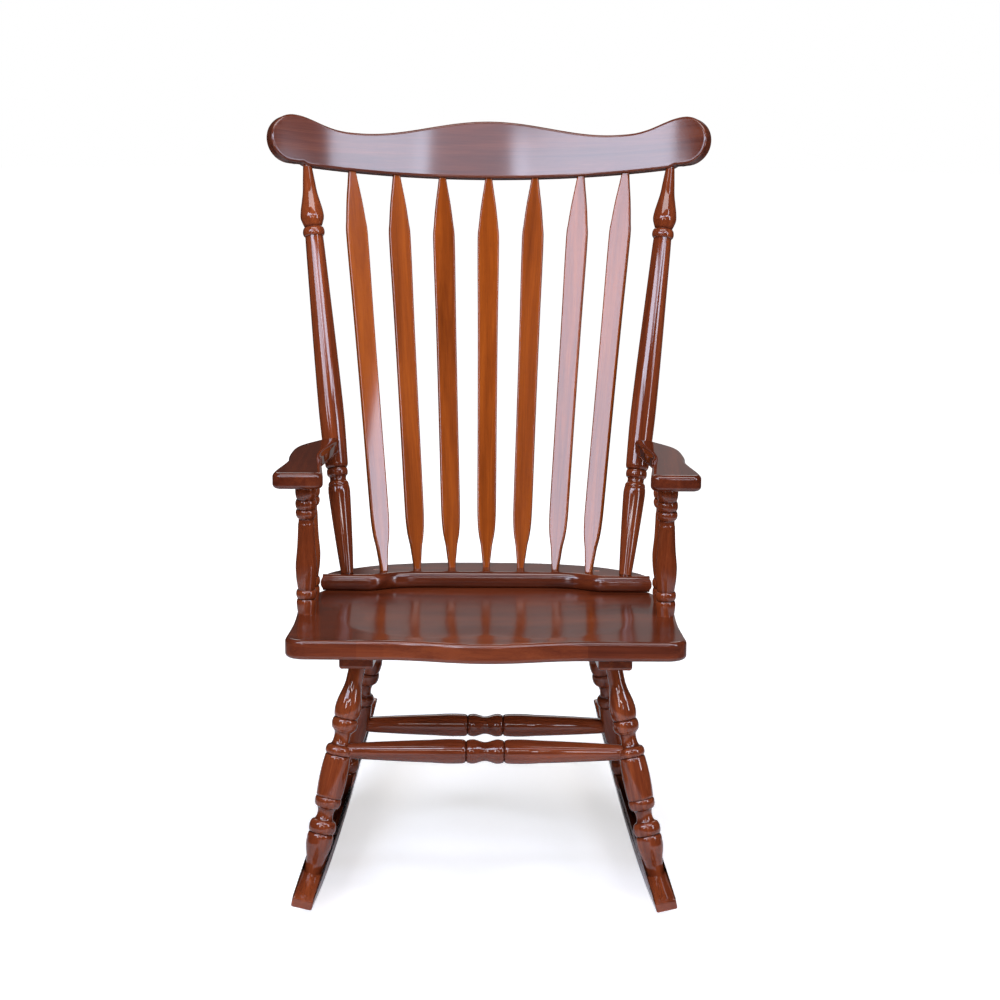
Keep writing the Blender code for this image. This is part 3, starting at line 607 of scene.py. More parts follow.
def buildArm(side, sign):
    outer = smoothCurve([Vector(p) for p in arm["outer"]], 14)
    inner = smoothCurve([Vector(p) for p in arm["inner"]], 14)
    toe = arm["toe"]
    innerToe = Vector((arm["inner"][-1][0] + toe, arm["inner"][-1][1]))
    outerToe = Vector((arm["outer"][0][0] - toe, arm["outer"][0][1]))
    front = [*roundCorner(innerToe, toe, 180, 262, 12), *roundCorner(outerToe, toe, 278, 360, 12)]
    outline = [*inner[:-1], *front, *outer[1:]]
    bm = roundedBoard(outline, edgeLevels(-arm["thickness"], 0, arm["edge"], steps=8))
    hinge = drawnFrom + Vector((0, arm["frontY"], arm["topFront"]))
    tilt = (Matrix.Translation(hinge) @ Matrix.Rotation(math.radians(arm["slope"]), 4, "X")
            @ Matrix.Translation((0, -arm["frontY"], 0)))
    addPiece("armrest_" + side, bm, "arm_wood", ["arm_" + side], tilt @ sided(sign), grainDeep)


def buildCleat(side, sign):
    front = Vector(cleat["front"])
    rear = Vector(cleat["rear"])
    run = rear - front
    half = Vector((cleat["width"] / 2, 0))
    corners = [front - half, front + half, rear + half, rear - half]
    rounded = []
    for index, corner in enumerate(corners):
        before = (corners[index - 1] - corner).normalized() * cleat["ends"]
        after = (corners[(index + 1) % 4] - corner).normalized() * cleat["ends"]
        for k in range(5):
            t = k / 4
            rounded.append(corner + before * (1 - t) ** 2 + after * t ** 2)
    top = -seat["thickness"] - deck["gap"]
    bottom = top - cleat["thickness"]
    levels = [(inward, z) for inward, z in edgeLevels(bottom, top, cleat["edge"])
              if z < top - cleat["flatTop"]]
    bm = roundedBoard(rounded, [*levels, (0, top)])
    addPiece("cleat_bar_" + side, bm, "base_wood", ["cleat_" + side],
             seatFrame @ sided(sign), grainDeep)


def rockerPoint(y, z, through=0.0):
    outward = Vector((1, -rocker["toe"], -rocker["cant"])).normalized()
    x = rocker["x"] + rocker["toe"] * y + rocker["cant"] * z
    return drawnFrom + Vector((x, y, z)) + outward * through


def soleHeight(y, through):
    # planed level where the chair stands, and square to the board at both tips
    t = y - rocker["balance"]
    height = rocker["curve"] * t ** 2 + rocker["twist"] * t ** 3
    away = max(0, abs(t) - rocker["level"]) / (rocker["rearTip"] - rocker["balance"])
    square = min(1, 1.3 * away)
    lean = -rocker["cant"] / math.hypot(1, rocker["toe"], rocker["cant"])
    return height + lean * (rocker["width"] / 2 * square - through * (1 - square))


def rockerOutline(through):
    count = round((rocker["rearTip"] - rocker["frontTip"]) / rocker["step"])
    under = []
    for k in range(count + 1):
        y = rocker["frontTip"] + (rocker["rearTip"] - rocker["frontTip"]) * k / count
        under.append(Vector((y, soleHeight(y, through))))
    return [*under, *smoothCurve([Vector(p) for p in rocker["top"]], 10)]


def buildRocker(side, sign):
    edge = rocker["edge"]
    rings = []
    for depth, through in edgeLevels(-rocker["width"] / 2, rocker["width"] / 2, edge, steps=4):
        outline = insetOutline(rockerOutline(through), depth)
        rings.append([rockerPoint(p.x, p.y, through) for p in outline])
    bm = skinRings(rings)[0]
    addPiece("rocker_board_" + side, bm, "base_wood", ["rocker_" + side], sided(sign),
             grainDeep, sharp=40)


for side, sign in sides:
    buildArm(side, sign)
    buildCleat(side, sign)
    buildRocker(side, sign)
print("arms, cleats and rockers shaped")


# Turned pieces

# each element runs from the last point to (distance, diameter), in mm; beads, coves and
# bellies also give the diameter at their middle
legTurning = {
    "start": (0, 24.3), "length": 311.2, "tenons": ((20, 21.6), (16, 16.0)), "letIn": 2.5,
    "elements": (
        ("taper", 22, 24.6), ("ogee", 65, 39.4), ("round", 79, 32.5), ("bead", 97, 31.5, 39.2),
        ("taper", 99, 29.0), ("cove", 120, 31.0, 23.6), ("bead", 134, 33.4, 40.6),
        ("round", 141, 39.0), ("belly", 193, 39.4, 41.6), ("round", 198, 36.0),
        ("bead", 213, 32.6, 39.6), ("cove", 233, 32.0, 24.0), ("bead", 252, 34.0, 41.0),
        ("round", 259, 39.6), ("taper", 266, 39.2), ("ogee", 299, 26.4), ("taper", 311.2, 26.0),
    ),
}
stretcherTurning = {
    "start": (0, 28.6), "tenon": 14, "neck": 22.5,
    "elements": (
        ("ogee", 19, 36.8), ("round", 28.6, 29.0), ("round", 36, 36.4), ("belly", 80, 34.6, 37.0),
        ("belly", 200, 23.5, 30.0),
    ),
}
postTurning = {
    "start": (0, 20), "length": 663, "tenons": ((16, 14.0), (20, 14.0)), "letIn": 0,
    "elements": (
        ("belly", 130, 35.2, 28.8), ("round", 142, 32.0), ("bead", 148, 29.0, 32.4),
        ("cove", 157, 29.0, 26.0), ("bead", 170, 29.0, 33.8), ("round", 178, 37.0),
        ("flow", ((236, 40), (284, 40), (364, 37.5), (445, 34), (525, 30.5), (548, 29.0))),
        ("bead", 563, 27.5, 35.4),
        ("flow", ((570, 33), (579.5, 38), (592, 35.5), (605, 30), (621, 23.5), (640, 19.5),
                  (663, 14.5))),
    ),
}
armPostTurning = {
    "start": (0, 27), "length": 205, "tenons": ((14, 16.0), (18, 16.0)), "letIn": 0,
    "elements": (
        ("belly", 27, 28.0, 33.0), ("bead", 42, 26.5, 32.6), ("bead", 56, 24.0, 31.8),
        ("cove", 65, 24.8, 23.2), ("flow", ((97, 27.5), (113, 30.2), (129, 33.0), (148, 31.5),
                                            (167, 26.2))),
        ("bead", 181, 25.5, 31.8), ("round", 188, 30.4), ("ogee", 205, 27.4),
    ),
}


def turnedLine(start, elements, steps=9):
    line = [start]
    for kind, *rest in elements:
        d0, w0 = line[-1]
        if kind == "flow":
            points = [Vector(line[-1]), *[Vector(p) for p in rest[0]]]
            line.extend(tuple(p) for p in smoothCurve(points, steps)[1:])
            continue
        d1, w1, *middle = rest
        for k in range(1, steps + 1):
            t = (1 - math.cos(math.pi * k / steps)) / 2
            width = w0 + (w1 - w0) * t
            if kind == "ogee":
                width = w0 + (w1 - w0) * (1 - math.cos(math.pi * t)) / 2
            elif kind == "round" and w1 > w0:
                width = w0 + (w1 - w0) * math.sqrt(1 - (1 - t) ** 2)
            elif kind == "round":
                width = w1 + (w0 - w1) * math.sqrt(1 - t ** 2)
            elif kind in ("bead", "cove"):
                width += (middle[0] - (w0 + w1) / 2) * math.sqrt(1 - (2 * t - 1) ** 2)
            elif kind == "belly":
                width += (middle[0] - (w0 + w1) / 2) * 4 * t * (1 - t)
            line.append((d0 + (d1 - d0) * t, width))
    return line


def axisOf(node):
    # the two ends of a turned CAD piece, from the rings round its end faces
    points = {tuple(round(value, 5) for value in v.co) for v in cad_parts[node].data.vertices}
    points = np.array(sorted(points))
    middle = points.mean(0)
    direction = np.linalg.svd(points - middle)[2][0]
    for tolerance in (0.004, 0.0005, 0.0002):
        along = (points - middle) @ direction
        low = points[along < along.min() + tolerance].mean(0)
        high = points[along > along.max() - tolerance].mean(0)
        direction = (high - low) / np.linalg.norm(high - low)
    return Vector(low), Vector(high)


def turnPiece(name, node, line, start, end, slotName, segments=60):
    # line holds (distance, diameter) in mm from start; painted shade darkens it where it dips
    frameOfPiece = (Matrix.Translation(start)
                    @ (end - start).to_track_quat("Z", "Y").to_matrix().to_4x4())
    line = [(d / 1000, w / 2000) for d, w in line]
    places = np.array([d for d, w in line])
    radii = np.array([w for d, w in line])
    grid = np.arange(places[0], places[-1], 0.0005)
    profile = np.interp(grid, places, radii)
    blurred = np.convolve(np.pad(profile, 10, "edge"), np.ones(21) / 21, "valid")
    dip = np.clip((blurred - profile) / 0.0014, 0, 1)
    rings = []
    for d, r in line:
        angles = [math.tau * k / segments for k in range(segments)]
        rings.append([Vector((r * math.cos(a), r * math.sin(a), d)) for a in angles])
    bm = skinRings(rings)[0]
    addPiece(name, bm, slotName, [node], frameOfPiece, upright,
             grooveShade=lambda co: float(np.interp(co.z, grid, dip)), sharp=42)


def fittedLine(turning, ends):
    # stretches the turning to the length between its tenons, and adds them
    total = (ends[1] - ends[0]).length * 1000
    (first, firstWidth), (last, lastWidth) = turning["tenons"]
    shoulder = total - last
    stretch = (shoulder - turning["letIn"] - first) / turning["length"]
    line = [(first + d * stretch, w) for d, w in turnedLine(turning["start"], turning["elements"])]
    return [(0, firstWidth), (first, firstWidth), *line, (shoulder, line[-1][1]),
            (shoulder, lastWidth), (total, lastWidth)]


def topDown(node):
    return sorted(axisOf(node), key=lambda p: -p.z)


for side, sign in sides:
    for which in ("front", "rear"):
        node = f"leg_{which}_{side}"
        ends = topDown(node)
        turnPiece("turned_" + node, node, fittedLine(legTurning, ends), *ends, "base_wood")
        node = f"arm_post_{which}_{side}"
        ends = topDown(node)
        turnPiece("turned_" + node, node, fittedLine(armPostTurning, ends), *ends, "post_wood")
    node = "back_post_" + side
    ends = topDown(node)[::-1]
    turnPiece("turned_" + node, node, fittedLine(postTurning, ends), *ends, "post_wood")

for which in ("front", "rear"):
    node = "stretcher_" + which
    ends = axisOf(node)
    half = (ends[1] - ends[0]).length * 500
    reach = half - stretcherTurning["tenon"]
    line = turnedLine(stretcherTurning["start"], stretcherTurning["elements"])
    neck = stretcherTurning["neck"]
    line = [(d, w) for d, w in line if d < reach - 1] + [(reach, neck), (half, neck)]
    whole = [(half - d, w) for d, w in reversed(line[1:])] + [(half + d, w) for d, w in line]
    turnPiece("turned_" + node, node, whole, *ends, "base_wood")
print("legs, posts and stretchers turned")


# Slats

slat = {
    "feet": (0, 0.0556, 0.1115, 0.1648), "heads": (0, 0.075, 0.149, 0.220),
    "arcRadius": 0.387, "arcY": 0.470,
    "thickness": 0.0105, "bow": 0.013, "tenon": 0.016, "corner": 0.0030,
    "widest": 0.040, "sides": 28, "segments": 170,
    "widths": ((0, 11), (0.05, 18), (0.14, 30.5), (0.40, 31.5), (0.62, 33), (0.84, 35.5),
               (0.88, 32), (1, 12)),
}


def newTree(name, inputs):
    tree = bpy.data.node_groups.new(name, "GeometryNodeTree")
    tree.interface.new_socket("Geometry", in_out="INPUT", socket_type="NodeSocketGeometry")
    tree.interface.new_socket("Geometry", in_out="OUTPUT", socket_type="NodeSocketGeometry")
    for title, kind in inputs:
        tree.interface.new_socket(title, in_out="INPUT", socket_type="NodeSocket" + kind)
    return tree, tree.nodes.new("NodeGroupInput").outputs, tree.nodes.new("NodeGroupOutput")


def endTree(tree, output, geometry, material):
    real = addNode(tree, "GeometryNodeRealizeInstances", {0: geometry})
    painted = addNode(tree, "GeometryNodeSetMaterial", {
        "Geometry": real.outputs[0], "Material": material,
    })
    feed(tree, output.inputs[0], painted.outputs[0])


def storeGrain(tree, geometry, value):
    node = addNode(tree, "GeometryNodeStoreNamedAttribute", {
        "Geometry": geometry, "Name": "grain", "Value": value,
    }, data_type="FLOAT_VECTOR", domain="POINT")
    return node.outputs[0]


def slatTree():
    tree, given, output = newTree("arrow slat", (
        ("Foot", "Vector"), ("Head", "Vector"), ("Foot Turn", "Float"), ("Head Turn", "Float"),
        ("Bow", "Float"), ("Thickness", "Float"), ("Corner", "Float"), ("Tenon", "Float"),
        ("Grain", "Vector"), ("Finish", "Material"),
    ))
    tube = addNode(tree, "GeometryNodeMeshCylinder", {
        "Vertices": slat["sides"], "Side Segments": slat["segments"], "Radius": 1.0, "Depth": 1.0,
    })
    turned = addNode(tree, "GeometryNodeTransform", {
        "Geometry": tube.outputs["Mesh"], "Rotation": (0, 0, math.pi / slat["sides"]),
    })
    place = separate(tree, addNode(tree, "GeometryNodeInputPosition").outputs[0])
    chord = vecCalc(tree, "SUBTRACT", given["Head"], given["Foot"])
    length = vecCalc(tree, "LENGTH", chord)
    whole = calc(tree, "MULTIPLY_ADD", given["Tenon"], 2.0, length)
    share = calc(tree, "DIVIDE", calc(tree, "MULTIPLY", place[2], whole), length)
    share = calc(tree, "ADD", share, 0.5)
    inner = calc(tree, "ADD", share, 0.0, clamp=True)
    curve = addNode(tree, "ShaderNodeFloatCurve", {"Value": inner})
    points = curve.mapping.curves[0].points
    for index, (at, width) in enumerate(slat["widths"]):
        height = width / 1000 / slat["widest"]
        if 0 < index < len(slat["widths"]) - 1:
            point = points.new(at, height)
        else:
            point = points[0 if index == 0 else len(points) - 1]
            point.location = (at, height)
        point.handle_type = "AUTO_CLAMPED"
    curve.mapping.update()
    width = calc(tree, "MULTIPLY", curve.outputs[0], slat["widest"])
    flatX = calc(tree, "SUBTRACT", calc(tree, "MULTIPLY", width, 0.5), given["Corner"])
    flatY = calc(tree, "SUBTRACT", calc(tree, "MULTIPLY", given["Thickness"], 0.5),
                 given["Corner"])
    x = calc(tree, "MULTIPLY", calc(tree, "SIGN", place[0]), flatX)
    x = calc(tree, "MULTIPLY_ADD", place[0], given["Corner"], x)
    y = calc(tree, "MULTIPLY", calc(tree, "SIGN", place[1]), flatY)
    y = calc(tree, "MULTIPLY_ADD", place[1], given["Corner"], y)
    run = separate(tree, chord)
    rearward = combine(tree, 0.0, run[2], calc(tree, "MULTIPLY", run[1], -1.0))
    rearward = vecCalc(tree, "NORMALIZE", rearward)
    lift = calc(tree, "MULTIPLY", share, calc(tree, "SUBTRACT", 1.0, share))
    lift = calc(tree, "MULTIPLY", calc(tree, "MULTIPLY", lift, given["Bow"]), 4.0)
    centre = vecCalc(tree, "ADD", given["Foot"], vecCalc(tree, "SCALE", chord, share))
    centre = vecCalc(tree, "ADD", centre, vecCalc(tree, "SCALE", rearward, lift))
    bend = calc(tree, "MULTIPLY_ADD", share, -2.0, 1.0)
    bend = calc(tree, "MULTIPLY", calc(tree, "MULTIPLY", bend, given["Bow"]), 4.0)
    slope = vecCalc(tree, "ADD", chord, vecCalc(tree, "SCALE", rearward, bend))
    slope = vecCalc(tree, "NORMALIZE", slope)
    turn = calc(tree, "SUBTRACT", given["Head Turn"], given["Foot Turn"])
    turn = calc(tree, "MULTIPLY_ADD", turn, inner, given["Foot Turn"])
    across = combine(tree, calc(tree, "COSINE", turn),
                     calc(tree, "MULTIPLY", calc(tree, "SINE", turn), -1.0), 0.0)
    off = calc(tree, "MULTIPLY", vecCalc(tree, "DOT_PRODUCT", across, slope), -1.0)
    across = vecCalc(tree, "ADD", across, vecCalc(tree, "SCALE", slope, off))
    across = vecCalc(tree, "NORMALIZE", across)
    through = vecCalc(tree, "CROSS_PRODUCT", across, slope)
    spot = vecCalc(tree, "ADD", centre, vecCalc(tree, "SCALE", across, x))
    spot = vecCalc(tree, "ADD", spot, vecCalc(tree, "SCALE", through, y))
    fibres = combine(tree, x, y, calc(tree, "MULTIPLY", share, length))
    fibres = vecCalc(tree, "ADD", fibres, given["Grain"])
    body = storeGrain(tree, turned.outputs[0], fibres)
    moved = addNode(tree, "GeometryNodeSetPosition", {"Geometry": body, "Position": spot})
    endTree(tree, output, moved.outputs[0], given["Finish"])
    return tree


def runTree(name, tree, values):
    # evaluates the tree on an empty mesh and returns the result as a plain mesh
    holder = addObject(name, bpy.data.meshes.new(name))
    modifier = holder.modifiers.new(name, "NODES")
    modifier.node_group = tree
    for item in tree.interface.items_tree:
        if item.in_out == "INPUT" and item.name in values:
            modifier[item.identifier] = values[item.name]
    mesh = takeMesh(holder)
    bm = bmesh.new()
    bm.from_mesh(mesh)
    bmesh.ops.recalc_face_normals(bm, faces=bm.faces)
    bm.to_mesh(mesh)
    bm.free()
    return mesh


def buildSlat(node, footX, headX, tree):
    arcMiddle = slat["arcY"] - slat["arcRadius"]
    footY = arcMiddle + math.sqrt(slat["arcRadius"] ** 2 - footX ** 2)
    foot = onSeat(footX, footY, deck["thickness"] + deck["gap"])
    s = crest["radius"] * math.asin(headX / crest["radius"])
    head = crestPoint(s, crest["sag"] + crest["lift"] * s ** 2, crest["thickness"] / 2)
    mesh = runTree(node, tree, {
        "Foot": foot, "Head": head, "Foot Turn": math.asin(footX / slat["arcRadius"]),
        "Head Turn": math.asin(headX / crest["radius"]), "Bow": slat["bow"],
        "Thickness": slat["thickness"], "Corner": slat["corner"], "Tenon": slat["tenon"],
        "Grain": Vector((footX * 61, 0.3, headX * 17)), "Finish": finishes["slat_wood"],
    })
    keepPiece("arrow_" + node, mesh, "slat_wood", [node], 40)


arrowSlat = slatTree()
buildSlat("slat_middle", 0, 0, arrowSlat)
for index in (1, 2, 3):
    for side, sign in sides:
        buildSlat(f"slat_{side}_{index}", sign * slat["feet"][index],
                  sign * slat["heads"][index], arrowSlat)
print("slats shaped")


# Plugs, pins and screws

plug = {"crown": 0.0007, "sides": 32}
screw = {"headRadius": 0.006, "headHeight": 0.0026, "shankRadius": 0.0028, "slot": 0.0014,
         "sides": 32, "shankSides": 20, "headTaper": 0.82, "crossReach": 1.1, "tipGap": 0.002}


def plugTree():
    tree, given, output = newTree("wood plug", (
        ("Place", "Vector"), ("Direction", "Vector"), ("Radius", "Float"), ("Length", "Float"),
        ("Crown", "Float"), ("Grain", "Vector"), ("Finish", "Material"),
    ))
    peg = addNode(tree, "GeometryNodeMeshCylinder", {
        "Vertices": plug["sides"], "Fill Segments": 6, "Radius": given["Radius"],
        "Depth": given["Length"],
    })
    position = addNode(tree, "GeometryNodeInputPosition").outputs[0]
    x, y, z = separate(tree, position)
    reach = vecCalc(tree, "LENGTH", combine(tree, x, y, 0.0))
    share = calc(tree, "DIVIDE", reach, given["Radius"])
    dome = calc(tree, "SUBTRACT", 1.0, calc(tree, "POWER", share, 4.0))
    dome = calc(tree, "MULTIPLY", dome, given["Crown"])
    dome = calc(tree, "MULTIPLY", dome, calc(tree, "GREATER_THAN", z, 0.0))
    domed = addNode(tree, "GeometryNodeSetPosition")
    feed(tree, domed.inputs["Geometry"], storeGrain(
        tree, peg.outputs["Mesh"], vecCalc(tree, "ADD", combine(tree, z, y, x), given["Grain"])))
    feed(tree, domed.inputs["Offset"], combine(tree, 0.0, 0.0, dome))
    # the peg's crowned end comes to the place, and it points along the direction
    sunk = addNode(tree, "GeometryNodeTransform", {
        "Geometry": domed.outputs[0],
        "Translation": combine(tree, 0.0, 0.0, calc(tree, "MULTIPLY", given["Length"], -0.5)),
    })
    spot = addNode(tree, "GeometryNodePoints", {"Position": given["Place"]})
    aim = addNode(tree, "FunctionNodeAlignRotationToVector", {
        "Vector": given["Direction"],
    }, axis="Z")
    placed = addNode(tree, "GeometryNodeInstanceOnPoints", {
        "Points": spot.outputs[0], "Instance": sunk.outputs[0], "Rotation": aim.outputs[0],
    })
    endTree(tree, output, placed.outputs[0], given["Finish"])
    return tree


def screwTree():
    tree, given, output = newTree("cleat screws", (
        ("First", "Vector"), ("Last", "Vector"), ("Count", "Int"), ("Direction", "Vector"),
        ("Head Radius", "Float"), ("Head Height", "Float"), ("Shank Radius", "Float"),
        ("Length", "Float"), ("Slot", "Float"), ("Finish", "Material"),
    ))
    head = addNode(tree, "GeometryNodeMeshCone", {
        "Vertices": screw["sides"], "Side Segments": 3, "Radius Bottom": given["Head Radius"],
        "Radius Top": calc(tree, "MULTIPLY", given["Head Radius"], screw["headTaper"]),
        "Depth": given["Head Height"],
    })
    bars = []
    for alongX, alongY in ((0, 1), (1, 0)):
        bar = addNode(tree, "GeometryNodeMeshCube")
        size = [calc(tree, "MULTIPLY", given["Head Radius"], screw["crossReach"]), given["Slot"]]
        feed(tree, bar.inputs["Size"], combine(tree, size[alongX], size[alongY],
                                               given["Head Height"]))
        raised = addNode(tree, "GeometryNodeTransform", {
            "Geometry": bar.outputs["Mesh"],
            "Translation": combine(tree, 0.0, 0.0, given["Head Height"]),
        })
        bars.append(raised.outputs[0])
    recess = addNode(tree, "GeometryNodeMeshBoolean", {
        "Mesh 1": head.outputs["Mesh"],
    }, operation="DIFFERENCE", solver="EXACT")
    for bar in bars:
        tree.links.new(bar, recess.inputs["Mesh 2"])
    shank = addNode(tree, "GeometryNodeMeshCylinder", {
        "Vertices": screw["shankSides"], "Radius": given["Shank Radius"], "Depth": given["Length"],
    })
    lowered = addNode(tree, "GeometryNodeTransform", {
        "Geometry": shank.outputs["Mesh"],
        "Translation": combine(tree, 0.0, 0.0, calc(tree, "MULTIPLY", given["Length"], -0.5)),
    })
    joined = addNode(tree, "GeometryNodeJoinGeometry")
    tree.links.new(recess.outputs["Mesh"], joined.inputs[0])
    tree.links.new(lowered.outputs[0], joined.inputs[0])
    row = addNode(tree, "GeometryNodeMeshLine", {
        "Count": given["Count"], "Start Location": given["First"], "Offset": given["Last"],
    }, mode="END_POINTS")
    aim = addNode(tree, "FunctionNodeAlignRotationToVector", {
        "Vector": given["Direction"],
    }, axis="Z")
    placed = addNode(tree, "GeometryNodeInstanceOnPoints", {
        "Points": row.outputs[0], "Instance": joined.outputs[0], "Rotation": aim.outputs[0],
    })
    endTree(tree, output, placed.outputs[0], given["Finish"])
    return tree


woodPlug = plugTree()
# piece, roughly which way its end faces, radius
plugNodes = [
    *[(f"deck_plug_{place}", (0, 0, 1), 0.005) for place in ("left", "middle", "right")],
    *[(f"arm_plug_{side}", (0, 1, 0), 0.005) for side, sign in sides],
    *[(f"crest_pin_{side}", (0, 1, 0), 0.003) for side, sign in sides],
]
for index, (node, outward, radius) in enumerate(plugNodes):
    low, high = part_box(node)
    middle = (low + high) / 2
    points = np.array([v.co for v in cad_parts[node].data.vertices])
    normals = np.array([p.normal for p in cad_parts[node].data.polygons])
    areas = np.array([p.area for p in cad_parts[node].data.polygons])
    facing = normals @ np.array(outward)
    best = normals[np.argmax(areas * (facing > 0.5))]
    direction = Vector(best).normalized()
    reach = (points - np.array(middle)) @ np.array(direction)
    place = middle + direction * float(reach.max())
    mesh = runTree(node, woodPlug, {
        "Place": place, "Direction": direction, "Radius": radius,
        "Length": float(reach.max() - reach.min()), "Crown": plug["crown"],
        "Grain": Vector((index * 0.37, 0.11, index * 0.73)), "Finish": finishes["plug_wood"],
    })
    keepPiece("round_" + node, mesh, "plug_wood", [node], 40)

cleatScrews = screwTree()
for side, sign in sides:
    nodes = [f"cleat_screw_{place}_{side}" for place in ("front", "middle", "rear")]
    ends = [sorted(axisOf(node), key=lambda p: p.z) for node in (nodes[0], nodes[2])]
    down = (ends[0][0] - ends[0][1]).normalized()
    inset = down * screw["headHeight"] / 2
    mesh = runTree("screws", cleatScrews, {
        "First": ends[0][0] - inset, "Last": ends[1][0] - inset, "Count": 3, "Direction": down,
        "Head Radius": screw["headRadius"], "Head Height": screw["headHeight"],
        "Shank Radius": screw["shankRadius"],
        "Length": (ends[0][0] - ends[0][1]).length - screw["tipGap"],
        "Slot": screw["slot"], "Finish": finishes["screw_steel"],
    })
    keepPiece("cleat_screws_" + side, mesh, "screw_steel", nodes, 30)

for node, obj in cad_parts.items():
    if node.startswith(("deck_screw", "arm_screw")):
        obj.material_slots[0].material = finishes["screw_steel"]
print("plugs, pins and screws set")


# Studio

studio = {
    "floorRadius": 14.0, "floorColour": (0.80, 0.79, 0.78, 1),
    "floorBounce": (0.10, 0.09, 0.09, 1), "floorLit": (2.0, 1.3),
    "floorFade": (0.6, 2.6), "floorGlow": (0.55, 1.0),
    "room": (0.04, 0.037, 0.036, 1), "backdrop": (1.0, 1.0, 1.0, 1),
    # azimuth from the front (degrees, + to the sitter's left), elevation, distance, width,
    # height, brightness, colour
    "lights": (
        ("upper left", -27.8, 30.1, 3.3, 2.24, 0.40, 14.5, (0.72, 0.80, 1.0)),
        ("upper middle", 4.5, 31, 3.3, 1.44, 0.36, 4.6, (0.76, 0.80, 1.0)),
        ("upper right", 28.6, 29.7, 3.3, 1.32, 0.46, 13.5, (0.70, 0.80, 1.0)),
        ("lower left", -35.5, 21.6, 3.3, 1.80, 0.56, 10.5, (0.70, 0.80, 1.0)),
        ("lower right", 48.5, 20.8, 3.3, 0.64, 0.50, 11.5, (0.70, 0.80, 1.0)),
        ("side left", -46, 14, 3.3, 0.60, 0.40, 9.0, (0.80, 0.84, 1.0)),
        ("foot left", -20, 6, 3.3, 0.36, 0.80, 15.0, (0.86, 0.88, 1.0)),
        ("foot middle", 10, 4, 3.3, 0.26, 0.50, 9.0, (0.86, 0.88, 1.0)),
        ("foot right", 51, 4, 3.3, 0.45, 0.90, 14.0, (0.86, 0.88, 1.0)),
        ("side right low", 55, 16, 3.3, 0.60, 0.50, 9.0, (0.80, 0.84, 1.0)),
        ("side right", 46, 37, 3.3, 0.50, 0.40, 11.0, (0.80, 0.84, 1.0)),
        ("top front", 0, 60, 3.0, 3.00, 1.00, 7.5, (1.0, 0.96, 0.98)),
        ("strip", -2, 11.4, 3.3, 1.00, 0.14, 14.0, (1.0, 0.96, 0.98)),
        ("back", 180, 28, 3.4, 2.40, 1.20, 3.0, (1.0, 1.0, 1.0)),
    ),
    "card": {"place": (0.95, 2.6, 0.75), "size": (2.5, 1.9), "glow": (0.27, 0.25, 0.25)},
    "aim": (0, 0.15, 0.95),
}
camera = {
    "place": (0, -4.4982, 1.447), "pitch": 79.0, "roll": 0.36, "lens": 104.7, "shiftX": 0.0133,
    "sensor": 36, "farthest": 100,
}


def mapRange(tree, value, fromRange, toRange=(0.0, 1.0)):
    node = addNode(tree, "ShaderNodeMapRange", {"Value": value})
    names = ("From Min", "From Max", "To Min", "To Max")
    for name, number in zip(names, (*fromRange, *toRange)):
        node.inputs[name].default_value = number
    return node.outputs[0]


def buildFloor():
    # pale to the camera; in the lacquer only its near part is bright
    bm = bmesh.new()
    bmesh.ops.create_circle(bm, cap_ends=True, segments=128, radius=studio["floorRadius"])
    mesh = meshOf("studio_floor", bm)
    material, tree, shader = newMaterial("studio floor")
    seen = addNode(tree, "ShaderNodeLightPath").outputs["Is Camera Ray"]
    place = addNode(tree, "ShaderNodeTexCoord").outputs["Object"]
    distance = vecCalc(tree, "LENGTH", place)
    near = mapRange(tree, distance, studio["floorLit"])
    bounce = blendColour(tree, "MIX", near, studio["floorBounce"], studio["floorColour"])
    feed(tree, shader.inputs["Base Color"],
         blendColour(tree, "MIX", seen, bounce, studio["floorColour"]))
    shader.inputs["Roughness"].default_value = 0.9
    shader.inputs["Specular IOR Level"].default_value = 0.1
    glow = addNode(tree, "ShaderNodeEmission")
    away = mapRange(tree, distance, studio["floorFade"], studio["floorGlow"])
    feed(tree, glow.inputs["Strength"], calc(tree, "MULTIPLY", away, seen))
    both = addNode(tree, "ShaderNodeAddShader", {0: shader.outputs[0], 1: glow.outputs[0]})
    feed(tree, tree.nodes["Material Output"].inputs["Surface"], both.outputs[0])
    mesh.materials.append(material)
    addObject("studio_floor", mesh)


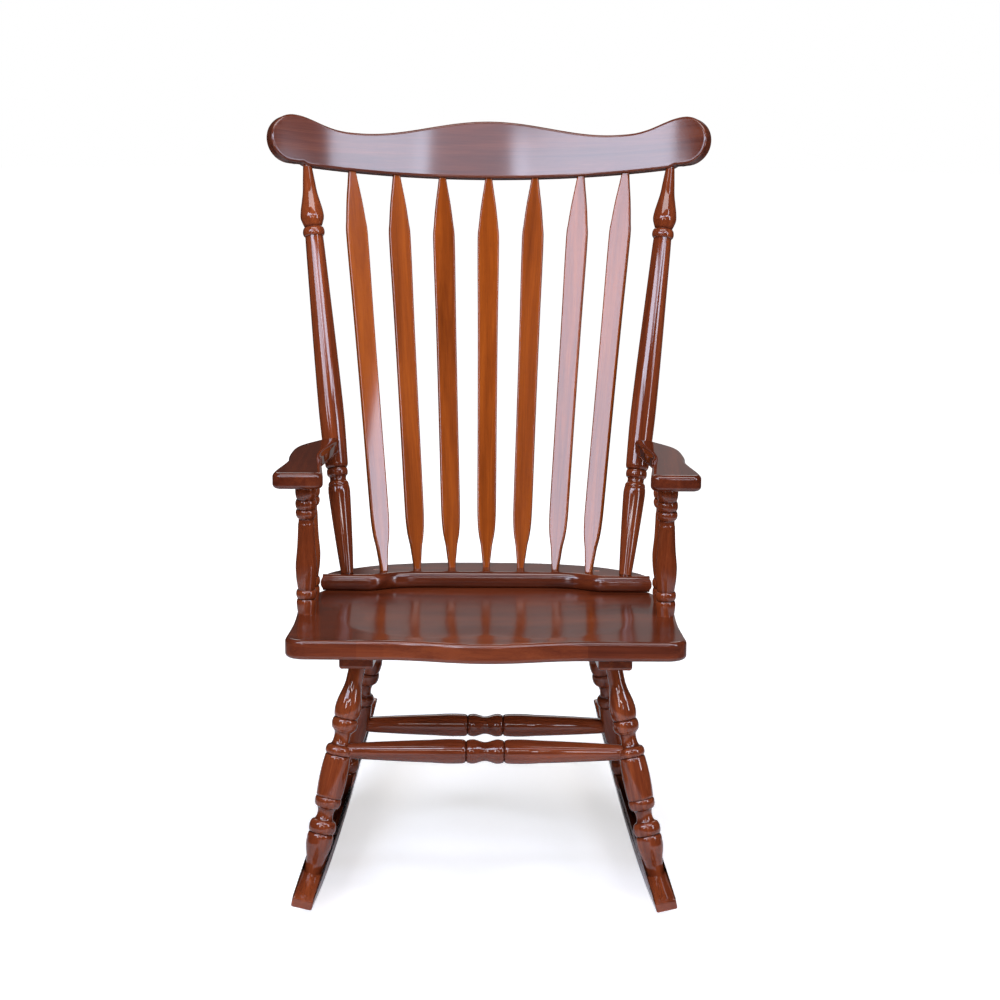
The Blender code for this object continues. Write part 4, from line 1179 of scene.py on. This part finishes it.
def buildRoom():
    world = bpy.data.worlds.new("studio")
    bpy.context.scene.world = world
    world.use_nodes = True
    tree = world.node_tree
    room = tree.nodes["Background"]
    room.inputs["Color"].default_value = studio["room"]
    paper = addNode(tree, "ShaderNodeBackground", {"Color": studio["backdrop"]})
    seen = addNode(tree, "ShaderNodeLightPath").outputs["Is Camera Ray"]
    either = addNode(tree, "ShaderNodeMixShader", {
        0: seen, 1: room.outputs[0], 2: paper.outputs[0],
    })
    feed(tree, tree.nodes["World Output"].inputs["Surface"], either.outputs[0])


def addLight(name, azimuth, elevation, distance, width, height, brightness, colour):
    light = bpy.data.lights.new(name, "AREA")
    light.shape = "RECTANGLE"
    light.size = width
    light.size_y = height
    light.energy = brightness * math.pi * width * height
    light.color = colour
    lamp = addObject(name, light)
    turn = math.radians(azimuth)
    tilt = math.radians(elevation)
    toLamp = Vector((math.sin(turn) * math.cos(tilt), -math.cos(turn) * math.cos(tilt),
                     math.sin(tilt)))
    lamp.matrix_world = (Matrix.Translation(Vector(studio["aim"]) + toLamp * distance)
                         @ toLamp.to_track_quat("Z", "Y").to_matrix().to_4x4())
    lamp.visible_camera = False


def addCard():
    # a pale card behind the chair, seen only in the lacquer
    width, height = studio["card"]["size"]
    bm = bmesh.new()
    corners = [(-width / 2, -height / 2), (width / 2, -height / 2), (width / 2, height / 2),
               (-width / 2, height / 2)]
    place = Vector(studio["card"]["place"])
    bm.faces.new([bm.verts.new(place + Vector((x, 0, z))) for x, z in corners])
    mesh = meshOf("studio_card", bm)
    material, tree, shader = newMaterial("studio card")
    glow = addNode(tree, "ShaderNodeEmission", {"Color": (*studio["card"]["glow"], 1)})
    feed(tree, tree.nodes["Material Output"].inputs["Surface"], glow.outputs[0])
    mesh.materials.append(material)
    card = addObject("studio_card", mesh)
    card.visible_camera = False


def addCamera():
    lens = bpy.data.cameras.new("camera")
    lens.lens = camera["lens"]
    lens.sensor_width = camera["sensor"]
    lens.shift_x = camera["shiftX"]
    lens.clip_end = camera["farthest"]
    view = addObject("camera", lens)
    view.matrix_world = (Matrix.Translation(camera["place"])
                         @ Matrix.Rotation(math.radians(camera["pitch"]), 4, "X")
                         @ Matrix.Rotation(math.radians(camera["roll"]), 4, "Z"))
    bpy.context.scene.camera = view


buildFloor()
buildRoom()
addCard()
for light in studio["lights"]:
    addLight(*light)
addCamera()
bpy.context.scene.view_settings.view_transform = "Standard"
print("studio lit")
